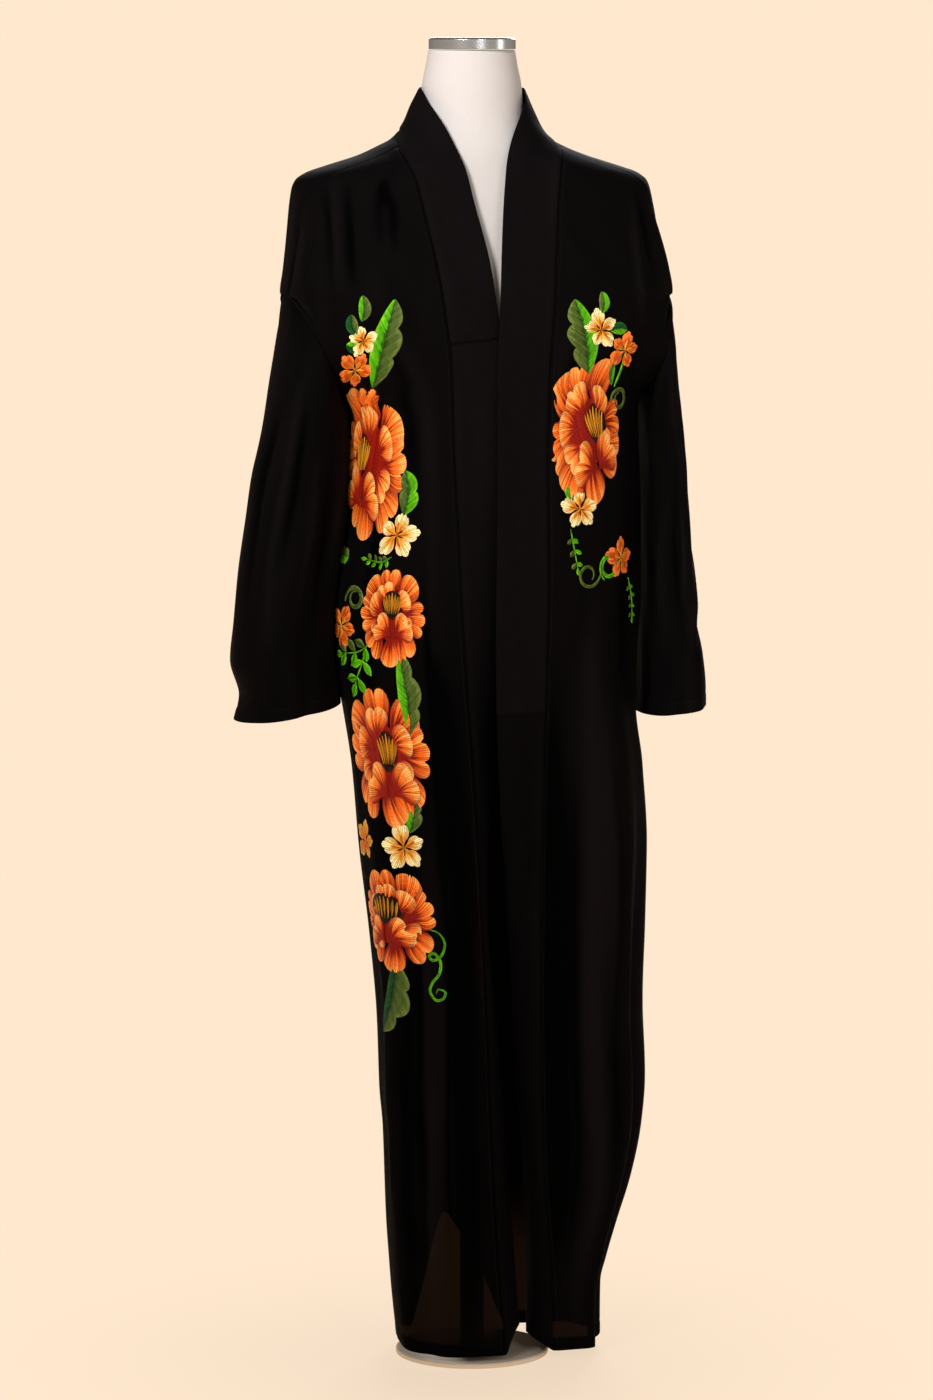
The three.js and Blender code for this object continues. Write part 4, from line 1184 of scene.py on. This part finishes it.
def curve(points, count):
    """A smooth line of evenly timed points through the given ones."""
    p = np.array(points, float)
    p = np.concatenate([2 * p[:1] - p[1:2], p, 2 * p[-1:] - p[-2:-1]])
    t = np.linspace(0, len(points) - 1, count)
    i = np.minimum(t.astype(int), len(points) - 2)
    f = (t - i)[:, None]
    a, b, c, d = p[i], p[i + 1], p[i + 2], p[i + 3]
    return 0.5 * (
        2 * b + (c - a) * f + (2 * a - 5 * b + 4 * c - d) * f**2 + (3 * b - a - 3 * c + d) * f**3
    )


def tendril(start, heading, length, turns, tighten=2.0, count=40):
    """A line that sets off at a heading (degrees) and winds up by so many turns."""
    t = np.linspace(0, 1, count)
    angle = np.radians(heading + 360 * turns * t**tighten)
    steps = np.stack([np.cos(angle), np.sin(angle)], -1) * length / (count - 1)
    return np.array(start, float) + np.cumsum(steps, axis=0) - steps[:1]


def straight(start, heading, length):
    turn = math.radians(heading)
    end = (start[0] + length * math.cos(turn), start[1] + length * math.sin(turn))
    return [start, ((start[0] + end[0]) / 2, (start[1] + end[1]) / 2), end]


def sideways(line):
    """Unit vectors along a line and to its left."""
    along_it = np.gradient(line, axis=0)
    along_it /= np.maximum(np.linalg.norm(along_it, axis=-1, keepdims=True), 1e-9)
    return along_it, np.stack([-along_it[:, 1], along_it[:, 0]], -1)


def pair(x, y):
    """A grid of pairs, as uv, from values that vary along its rows and its columns."""
    return np.stack(np.broadcast_arrays(x, y), -1)


class Embroidery:
    """Satin-stitched patches on a panel, gathered into one mesh.

    A patch is a grid of points, given in millimetres to the right (a) of a place on the panel
    (psi, z) and above it (b), with a height over the cloth. Stitch holds the millimetres across and
    along the threads, and shade runs from 0 at a petal's foot to 1 at its rim.
    """

    def __init__(self, ground, seed):
        self.ground, self.random = ground, np.random.default_rng(seed)
        self.points, self.faces, self.stitch, self.shade, self.thread = [], [], [], [], []
        self.count = 0

    def lay(self, place, a, b, height):
        """The points of a patch on the panel, and which of them fell off its edges."""
        ground, (psi, z) = self.ground, place
        a, b, height = a.ravel(), b.ravel(), height.ravel()
        rows = np.interp(z + b, ground["z"], np.arange(len(ground["z"])))
        nearest = int(round(np.interp(z, ground["z"], np.arange(len(ground["z"])))))
        x = np.interp(psi, ground["psi"][nearest], ground["points"][nearest, :, 0])
        low = np.minimum(rows.astype(int), len(ground["z"]) - 2)
        laid = np.zeros((2, len(a), 6))
        off = np.zeros(len(a), bool)
        for step in (0, 1):
            for row in np.unique(low + step):
                these = np.flatnonzero(low + step == row)
                s = ground["s"][row]
                if z > UPRIGHT_FROM:
                    across = np.maximum.accumulate(-ground["points"][row, :, 0])
                    target = np.interp(-x, across, s) - a[these]
                else:
                    target = np.interp(psi, ground["psi"][row], s) - a[these]
                inside = np.clip(target, s[0] + MARGIN, s[-1] - MARGIN)
                off[these] |= target != inside
                target = inside
                laid[step, these] = np.concatenate(
                    [between(target, s, ground[k][row]) for k in ("points", "normals")], -1
                )
        both = mix(laid[0], laid[1], (rows - low)[:, None])
        return both[:, :3] + both[:, 3:] * height[:, None], off

    def patch(self, place, grid, height, stitch, shade, thread):
        rows, columns = grid.shape[:2]
        height = np.broadcast_to(height, (rows, columns))
        points, off = self.lay(place, grid[..., 0], grid[..., 1], height)
        index = np.arange(rows * columns).reshape(rows, columns)
        faces = np.stack([index[:-1, :-1], index[:-1, 1:], index[1:, 1:], index[1:, :-1]], -1)
        faces = faces.reshape(-1, 4)
        corner = [grid[:-1, :-1], grid[:-1, 1:], grid[1:, 1:]]
        first, second = corner[1] - corner[0], corner[2] - corner[1]
        if np.sum(first[..., 0] * second[..., 1] - first[..., 1] * second[..., 0]) < 0:
            faces = faces[:, ::-1]
        faces = faces[~off[faces].any(axis=1)]
        self.points.append(points)
        self.faces.append(faces + self.count)
        self.stitch.append(np.reshape(stitch, (-1, 2)) + self.random.uniform(0, 900))
        self.shade.append(np.reshape(shade, (-1, 2)))
        self.thread.append(np.full(len(faces), list(THREADS).index(thread)))
        self.count += rows * columns

    def petal(
        self, place, foot, heading, spread, length, thread, size=(1, 1),
        lobes=1, lift=0.3, dent=0.16, lean=0, point=0.10, shoulder=3,
    ):
        """A fan of stitches with a lobed rim, which falls back by point towards its sides."""
        t = np.linspace(-1, 1, 6 * lobes + 7)[None, :]
        r = np.linspace(0.06, 1, 9)[:, None]
        wave = np.sqrt(np.abs(np.sin(lobes * math.pi * (t + 1) / 2)))
        taper = point * np.abs(t) ** shoulder
        reach = length * (1 - dent + dent * wave) * (1 - taper)
        bow = np.sin(math.pi * r * 0.62) / math.sin(math.pi * 0.62)
        turn = np.radians(heading + lean * r**2 + t * spread / 2 * bow)
        grid = np.stack([np.cos(turn), np.sin(turn)], -1) * (r * reach)[..., None]
        grid = (grid + foot) * size
        crown = (1 - np.abs(t) ** 5) * (1 - r**7)
        height = lift + EDGE_SINK * (crown - 1) + 0.5 * crown * np.sin(math.pi * r)
        across = t * math.radians(spread) / 2 * (length * size[1]) * 0.8
        stitch = pair(across, r * reach * size[1])
        self.patch(place, grid, height, stitch, pair((t + 1) / 2, r), thread)

    def half_leaf(self, place, line, side, width, thread, lobes=0, lift=0.3):
        """One half of a leaf beside its spine: stitches slant away from the spine."""
        along_it, left = sideways(line)
        t = np.linspace(0, 1, len(line))[:, None]
        w = np.linspace(0, 1, 7)[None, :]
        edge = np.sin(math.pi * t**0.85) ** 0.72
        if lobes:
            edge = edge * (0.60 + 0.40 * np.abs(np.sin(lobes * math.pi * (t * 0.94 + 0.03))) ** 0.6)
        reach = width * edge * w
        grid = line[:, None] + side * left[:, None] * reach[..., None]
        grid = grid + along_it[:, None] * (reach * 0.35)[..., None]
        crown = 1 - w**5
        height = lift + EDGE_SINK * (crown - 1) + 0.5 * np.sin(math.pi * (w * 0.9 + 0.1))
        length = np.linalg.norm(np.diff(line, axis=0), axis=-1).sum()
        stitch = pair(t * length - 0.7 * reach, reach)
        self.patch(place, grid, height, stitch, pair(t, w), thread)

    def leaf(self, place, points, left, right, count=25, lift=0.3):
        """A leaf with a half of its own width, thread and lobes on each side of the spine."""
        line = curve(points, count)
        for side, (width, thread, lobes) in ((1, left), (-1, right)):
            if width:
                self.half_leaf(place, line, side, width, thread, lobes, lift)

    def cord(self, place, line, width, thread, taper=0.25, lift=0.35):
        """A narrow row of stitches along a line, thinner at both ends."""
        _, left = sideways(line)
        t = np.linspace(0, 1, len(line))[:, None]
        across = np.linspace(-1, 1, 5)[None, :]
        half = width / 2 * np.clip(np.minimum(t, 1 - t) / taper, 0.25, 1) ** 0.6
        grid = line[:, None] + left[:, None] * (across * half)[..., None]
        height = lift + 0.55 * (1 - across**2) - EDGE_SINK * across**4
        length = np.linalg.norm(np.diff(line, axis=0), axis=-1).sum()
        stitch = pair(t * length - 0.8 * across * half, across * half)
        self.patch(place, grid, height, stitch, pair(t, np.abs(across)), thread)

    def drop(self, place, foot, heading, length, width, thread, lift=0.35):
        """A single fat stitch, widest towards its end."""
        line = curve(straight(foot, heading, length), 11)
        _, left = sideways(line)
        t = np.linspace(0, 1, len(line))[:, None]
        across = np.linspace(-1, 1, 7)[None, :]
        half = width / 2 * np.sin(math.pi * np.clip(t, 0.02, 0.98) ** 1.3) ** 0.8
        grid = line[:, None] + left[:, None] * (across * half)[..., None]
        height = lift + 0.6 * (1 - across**2) - EDGE_SINK * across**4
        stitch = pair(across * half, t * length)
        self.patch(place, grid, height, stitch, pair(t, np.abs(across)), thread)

    def disc(self, place, middle, radii, thread, lift=1.0, turn=0.0, rim=1.0):
        """An oval of upright stitches, shaded up to a share of the way to its thread's rim."""
        around, r = np.linspace(0, 2 * math.pi, 25), np.linspace(0.02, 1, 5)[:, None]
        x, y = radii[0] * r * np.cos(around), radii[1] * r * np.sin(around)
        c, s = math.cos(math.radians(turn)), math.sin(math.radians(turn))
        grid = np.stack([x * c - y * s + middle[0], x * s + y * c + middle[1]], -1)
        height = lift - EDGE_SINK * r**4
        self.patch(place, grid, height, pair(x, y), pair(0.5 + 0 * around, r * rim), thread)

    def blossom(self, place, radius, thread, middle, turn=90, lift=0.6):
        """A small flower of five notched petals round a stitched centre."""
        for i in range(5):
            length = radius * self.random.uniform(0.95, 1.25)
            heading = turn + 72 * i + self.random.uniform(-9, 9)
            self.petal(
                place, (0, 0), heading, 66, length, thread, lobes=3, dent=0.10, point=0.36,
                shoulder=1.5, lift=lift + 0.12 * (i % 3),
            )
        for i in range(5):
            heading = turn + 72 * i + self.random.uniform(-8, 8)
            self.drop(place, (0, 0), heading, radius * 0.62, radius * 0.22, middle, lift + 0.5)

    def sprig(self, place, points, leaves, size, thread, other):
        """A stem with small leaves in pairs."""
        line = curve(points, 30)
        self.cord(place, line, 1.7, thread)
        along_it, _ = sideways(line)
        for i in range(leaves):
            at = int((i + 1.0) / (leaves + 0.3) * 29)
            heading = math.degrees(math.atan2(along_it[at, 1], along_it[at, 0]))
            for side in (1, -1):
                self.drop(
                    place,
                    tuple(line[at]),
                    heading + side * self.random.uniform(42, 62),
                    size * self.random.uniform(0.85, 1.1),
                    size * 0.52,
                    thread if side > 0 else other,
                )
        end = math.degrees(math.atan2(along_it[-1, 1], along_it[-1, 0]))
        self.drop(place, tuple(line[-1]), end, size, size * 0.5, thread)

    def rose(self, place, across, tall, eye=(0.0, 0.05), wide=1.0, stamens=7, turn=0.0):
        """A large open flower: petals in rings, back ones first, round an eye with stamens."""
        size = (across, tall)

        def ring(petals, thread, reach):
            for heading, spread, length, lobes, lift in petals:
                heading += turn + self.random.uniform(-5, 5)
                out = math.radians(heading)
                away = (0.16 * math.cos(out), 0.14 * math.sin(out))
                self.petal(
                    place, away, heading, spread, length * reach, thread, size, lobes=lobes,
                    lift=lift, lean=self.random.uniform(-14, 14), dent=0.10 + 0.02 * lobes,
                )

        outer = [
            (92, 62, 1.00, 2, 0.25),
            (50, 54, 1.02, 1, 0.40),
            (133, 54, 1.02, 1, 0.40),
            (4, 66, 0.98, 3, 0.60),
            (176, 66, 0.98, 3, 0.60),
            (-44, 62, 1.00, 2, 0.80),
            (224, 62, 1.00, 2, 0.85),
            (-90, 50, 1.00, 1, 1.05),
        ]
        ring(outer, "rose", 0.86)
        self.disc(place, (0, 0), (0.50 * across, 0.46 * tall), "rose", 1.15, turn, rim=0.3)
        inner = [
            (104, 84, 0.62, 2, 1.25),
            (40, 70, 0.60, 1, 1.40),
            (160, 72, 0.62, 1, 1.45),
            (-28, 74, 0.56, 2, 1.60),
            (212, 76, 0.58, 2, 1.65),
        ]
        ring(inner, "rose_light", 0.92)
        middle = (eye[0] * across, eye[1] * tall)
        radii = (0.28 * across * wide, 0.29 * tall)
        self.disc(place, middle, radii, "eye", 2.0, turn)
        for i in range(stamens):
            share = (i + 0.5) / stamens * 2 - 1
            foot = (middle[0] + share * radii[0] * 0.6, middle[1] - radii[1] * 0.6)
            self.drop(
                place, foot, 90 + turn - share * 14, radii[1] * (1.45 - 0.35 * abs(share)), 3.6,
                "stamen", 2.15,
            )
        for side, heading, lift in ((1, 44, 2.25), (-1, 138, 2.35)):
            foot = (eye[0] + side * 0.02, eye[1] - 0.66)
            self.petal(
                place, foot, heading + turn, 88, 0.60, "rose_light", size, lobes=2, lift=lift,
                lean=side * -10, dent=0.16,
            )

    def finish(self, name):
        """The joined mesh of every patch, moving with its panel."""
        mesh = bpy.data.meshes.new(name)
        faces = np.concatenate(self.faces)
        mesh.from_pydata((np.concatenate(self.points) * MM).tolist(), [], faces.tolist())
        for label, values in (("stitch", self.stitch), ("shade", self.shade)):
            layer = mesh.uv_layers.new(name=label)
            layer.data.foreach_set("uv", np.concatenate(values)[faces].ravel())
        for material in THREADS.values():
            mesh.materials.append(material)
        mesh.polygons.foreach_set("material_index", np.concatenate(self.thread))
        mesh.shade_smooth()
        mesh.update()
        piece = new_piece(name, mesh, None)
        self.ground["with"] = [piece.name]
        return piece


def embroider_right():
    work = Embroidery(SHEETS["front_right"], 5)
    bright, olive, deep = "leaf", "olive", "deep_leaf"
    work.leaf((41.9, 1223), [(0, 0), (3, 14), (1, 30)], (7, bright, 0), (8, olive, 0))
    work.leaf((49.2, 1206), [(0, 0), (-6, 12), (-8, 25)], (8, deep, 0), (7, olive, 0))
    work.leaf((56, 1184), [(0, 0), (-9, 8), (-20, 12)], (7, deep, 0), (8, bright, 0))
    work.leaf((58.4, 1146), [(0, 0), (7, 50), (19, 103)], (14, bright, 0), (22, olive, 3), 41)
    work.blossom((47.3, 1202), 17, "cream", "yellow", 96)
    work.blossom((66.7, 1167), 20, "orange", "yellow", 70)
    work.rose((63, 1061), 53, 92, eye=(-0.30, 0.06), wide=0.8, turn=-10)
    work.leaf((42.1, 1001), [(0, 0), (5, 26), (1, 52)], (13, olive, 2), (14, bright, 2))
    work.blossom((44.7, 979), 25, "cream", "yellow", 82)
    work.sprig((45.8, 954), [(0, 0), (-14, -7), (-36, -5)], 4, 9, bright, olive)
    work.leaf((84.7, 948), [(0, 0), (12, 3), (26, 1)], (11, olive, 2), (12, bright, 2))
    work.cord((67.1, 909), tendril((-13, -10), 80, 92, -1.25, 1.4), 5, olive)
    work.blossom((74.7, 870), 23, "orange", "yellow", 60)
    work.rose((44.5, 885), 42, 58, eye=(0.08, 0.24), wide=1.15)
    work.sprig((54.1, 856), [(0, 0), (-22, -14), (-48, -18)], 3, 19, bright, olive)
    work.sprig((54.1, 856), [(-10, -6), (-18, -28), (-30, -50)], 2, 20, bright, bright)
    work.leaf((38.9, 746), [(0, 0), (2, 48), (-4, 100)], (11, bright, 0), (18, olive, 3), 41)
    work.rose((54, 722), 58, 84, eye=(0.12, 0.08), wide=0.75)
    work.leaf((41.1, 634), [(0, 0), (5, 22), (4, 46)], (10, bright, 0), (12, olive, 2))
    work.blossom((44.9, 617), 25, "cream", "yellow", 100)
    work.blossom((76.1, 619), 22, "yellow", "orange", 80)
    work.rose((57, 530), 58, 62, eye=(-0.12, 0.22), wide=1.7)
    scroll = [
        (0, 0), (11, -4), (17, -16), (13, -30), (3, -36), (-2, -31), (5, -28), (12, -38), (10, -52),
        (2, -62), (-2, -73), (5, -83), (14, -81), (16, -73), (9, -70), (6, -75),
    ]
    work.cord((30.8, 522), curve(scroll, 90), 3.2, bright)
    work.leaf((55.8, 481), [(0, 0), (-9, -42), (-30, -88)], (25, olive, 3), (12, deep, 0), 41)
    work.finish("embroidery_front_right")


def embroider_left():
    work = Embroidery(SHEETS["front_left"], 9)
    bright, olive, deep = "leaf", "olive", "deep_leaf"
    work.leaf((326.5, 1161), [(0, 0), (-5, 42), (-19, 86)], (24, olive, 3), (15, bright, 0), 41)
    work.leaf((332.5, 1230), [(0, 0), (3, 12), (0, 25)], (7, olive, 0), (7, bright, 0))
    work.leaf((325.6, 1210), [(0, 0), (11, 3), (23, 1)], (7, deep, 0), (8, bright, 0))
    work.blossom((330.4, 1212), 21, "cream", "yellow", 96)
    work.blossom((311.4, 1187), 20, "orange", "yellow", 76)
    work.cord((311.4, 1187), curve([(0, -12), (-4, -26), (-12, -42)], 24), 3.2, bright)
    work.leaf((312.3, 1147), [(0, 0), (-1, 14), (2, 26)], (5, olive, 0), (5, bright, 0))
    work.cord((311, 1135), tendril((-10, -14), 95, 88, -1.2, 1.4), 4.6, olive)
    work.rose((325.7, 1095), 54, 86, eye=(0.26, 0.10), wide=0.9, turn=13)
    work.leaf((332.6, 1014), [(0, 0), (-1, 26), (-6, 52)], (12, bright, 2), (11, olive, 2))
    work.blossom((329.3, 1007), 23, "cream", "yellow", 92)
    work.sprig((333, 984), [(0, 0), (4, -20), (9, -44)], 3, 10, bright, olive)
    work.cord((315.5, 945), tendril((-6, -22), 140, 104, -1.35, 1.2, 60), 4.4, bright)
    work.cord((322.3, 918), tendril((12, 22), 262, 92, -1.1, 1.6, 60), 3.6, olive)
    work.blossom((307.3, 946), 24, "orange", "yellow", 88)
    work.sprig((300.8, 922), [(0, 0), (7, -22), (10, -46)], 4, 8, bright, olive)
    work.finish("embroidery_front_left")


# ---------------------------------------------------------------- sewing

BESIDE_BAND = 5  # how far beside the band's seam the panel is stitched down
# The faces of a stitch's bar, from its four corners on the cloth and the four above them.
BAR_FACES = [(4, 5, 6, 7), (0, 1, 5, 4), (1, 2, 6, 5), (2, 3, 7, 6), (3, 0, 4, 7)]


def line_across(sheet, distance):
    """Points and normals across a panel at a distance up from its hem or cuff."""
    up = arc_lengths(sheet["points"], 0)
    return [
        np.stack([between(distance, up[:, c], sheet[k][:, c]) for c in range(up.shape[1])])
        for k in ("points", "normals")
    ]


def line_up(sheet, distance, from_end=False):
    """Points and normals up a panel at a distance from its first or last column."""
    at = [s[-1] - distance if from_end else distance for s in sheet["s"]]
    return [
        np.stack([between(*row) for row in zip(at, sheet["s"], sheet[k])])
        for k in ("points", "normals")
    ]


def stitch_rows(name, rows, pitch=3.4, length=2.3, width=0.5, rise=0.22):
    """Rows of lock stitches as one mesh of small raised bars."""
    vertices, faces = [], []
    for points, normals in rows:
        run = np.concatenate([[0], np.cumsum(np.linalg.norm(np.diff(points, axis=0), axis=-1))])
        starts = np.arange(5, run[-1] - 8, pitch)
        first, last = between(starts, run, points), between(starts + length, run, points)
        out = between(starts, run, normals)
        out /= np.linalg.norm(out, axis=-1, keepdims=True)
        side = np.cross(out, last - first)
        side *= width / 2 / np.linalg.norm(side, axis=-1, keepdims=True)
        inset, narrow = (last - first) * 0.15, side * 0.6
        foot, top = out * -0.1, out * rise
        corners = [
            first - side + foot, first + side + foot, last + side + foot, last - side + foot,
            first + inset - narrow + top, first + inset + narrow + top,
            last - inset + narrow + top, last - inset - narrow + top,
        ]
        base = sum(len(v) for v in vertices) + 8 * np.arange(len(starts))[:, None, None]
        vertices.append(np.stack(corners, 1).reshape(-1, 3))
        faces.append((np.array(BAR_FACES)[:, ::-1] + base).reshape(-1, 4))
    mesh = bpy.data.meshes.new(name)
    mesh.from_pydata((np.concatenate(vertices) * MM).tolist(), [], np.concatenate(faces).tolist())
    for label in ("stitch", "shade"):
        layer = mesh.uv_layers.new(name=label)
        corner = np.tile([(0.1, 0.5), (0.9, 0.5), (0.9, 0.6), (0.1, 0.6)], (len(mesh.polygons), 1))
        layer.data.foreach_set("uv", corner.ravel())
    new_piece(name, mesh, THREADS["black"])


def sewing():
    """Stitching of the hems and cuffs, and beside the neckband's seams."""
    rows = [
        line_across(SHEETS[name], HEM_DEPTH)
        for name in ("front_right", "front_left", "back", "sleeve_right", "sleeve_left")
    ]
    rows.append(line_up(SHEETS["front_right"], BESIDE_BAND))
    rows.append(line_up(SHEETS["front_left"], BESIDE_BAND, from_end=True))
    stitch_rows("seam_stitches", rows)


# ---------------------------------------------------------------- floor, light and camera

BACKGROUND = (1.0, 0.807, 0.617)
FLOOR_RADIUS = 60
VIEW = {"azimuth": -12.0, "distance": 6.0, "height": 1.52, "pitch": 7.07, "aside": -0.0065}
FOCAL_PIXELS = 5185
IMAGE_HEIGHT = 1400
SENSOR = 36.0
LIGHTS = (  # name, place, size, power, what it is aimed at and its spread
    ("key_light", (-2.2, -2.6, 3.4), (0.9, 0.9), 8.0, (0, 0, 1.52), 34),
    ("front_light", (0.9, -4.6, 2.6), (1.4, 1.4), 4.0, (0, 0, 1.35), 50),
    ("side_light", (3.6, -1.4, 1.6), (0.9, 2.0), 13, (0, 0, 0.85), 180),
    ("back_light", (1.2, 3.6, 2.8), (2.0, 2.0), 170, (0, 0, 0.85), 180),
)


def floor():
    """A wide pale floor whose far part has the backdrop's own colour."""
    mesh = bpy.data.meshes.new("floor")
    turns = [2 * math.pi * i / 96 for i in range(96)]
    ring = [(FLOOR_RADIUS * math.cos(turn), FLOOR_RADIUS * math.sin(turn), 0) for turn in turns]
    mesh.from_pydata(ring, [], [list(range(len(ring)))])
    plane = bpy.data.objects.new("floor", mesh)
    bpy.context.scene.collection.objects.link(plane)
    material, tree, shader = new_material("pale_floor", (0.90, 0.74, 0.57), 0.95)
    shader.inputs["Specular IOR Level"].default_value = 0.0
    mesh.materials.append(material)
    far = node(tree, "ShaderNodeEmission", Color=(*BACKGROUND, 1), Strength=1.0)
    place = tree.nodes.new("ShaderNodeNewGeometry")
    distance = node(tree, "ShaderNodeVectorMath")
    distance.operation = "LENGTH"
    tree.links.new(place.outputs["Position"], distance.inputs[0])
    fade = node(tree, "ShaderNodeMapRange", From_Min=0.02, From_Max=0.6, To_Min=0.78)
    fade.interpolation_type = "SMOOTHSTEP"
    tree.links.new(distance.outputs["Value"], fade.inputs["Value"])
    near = shader.outputs["BSDF"]
    mix_shaders(tree, fade.outputs["Result"], near, far.outputs["Emission"], "Material Output")


def world_light():
    """Even light all round, and the backdrop's colour where the camera looks past the floor."""
    world = bpy.data.worlds.new("studio")
    bpy.context.scene.world = world
    world.use_nodes = True
    tree = world.node_tree
    light = tree.nodes["Background"]
    light.inputs["Color"].default_value = (1.0, 0.95, 0.90, 1)
    light.inputs["Strength"].default_value = 0.17
    seen = node(tree, "ShaderNodeBackground", Color=(*BACKGROUND, 1), Strength=1.0)
    path = tree.nodes.new("ShaderNodeLightPath")
    lit, shown = light.outputs["Background"], seen.outputs["Background"]
    mix_shaders(tree, path.outputs["Is Camera Ray"], lit, shown, "World Output")


def soft_box(name, place, size, power, look_at, spread):
    light = bpy.data.lights.new(name, "AREA")
    light.shape = "RECTANGLE"
    light.size, light.size_y = size
    light.energy, light.spread = power, math.radians(spread)
    lamp = bpy.data.objects.new(name, light)
    lamp.location = place
    lamp.rotation_euler = (Vector(look_at) - Vector(place)).to_track_quat("-Z", "Y").to_euler()
    bpy.context.scene.collection.objects.link(lamp)


def camera():
    turn = math.radians(VIEW["azimuth"])
    aside = Vector((math.cos(turn), math.sin(turn), 0)) * VIEW["aside"]
    data = bpy.data.cameras.new("camera")
    data.sensor_width = SENSOR
    data.lens = FOCAL_PIXELS * SENSOR / IMAGE_HEIGHT
    view = bpy.data.objects.new("camera", data)
    view.location = aside + Vector(
        (math.sin(turn) * VIEW["distance"], -math.cos(turn) * VIEW["distance"], VIEW["height"])
    )
    view.rotation_euler = (math.radians(90 - VIEW["pitch"]), 0, turn)
    bpy.context.scene.collection.objects.link(view)
    bpy.context.scene.camera = view


camera()
floor()
world_light()
for light_row in LIGHTS:
    soft_box(*light_row)
bpy.context.scene.view_settings.view_transform = "Standard"

form_cover()
stand()
body_panels()
sleeves()
band_pieces()
embroider_right()
embroider_left()
sewing()
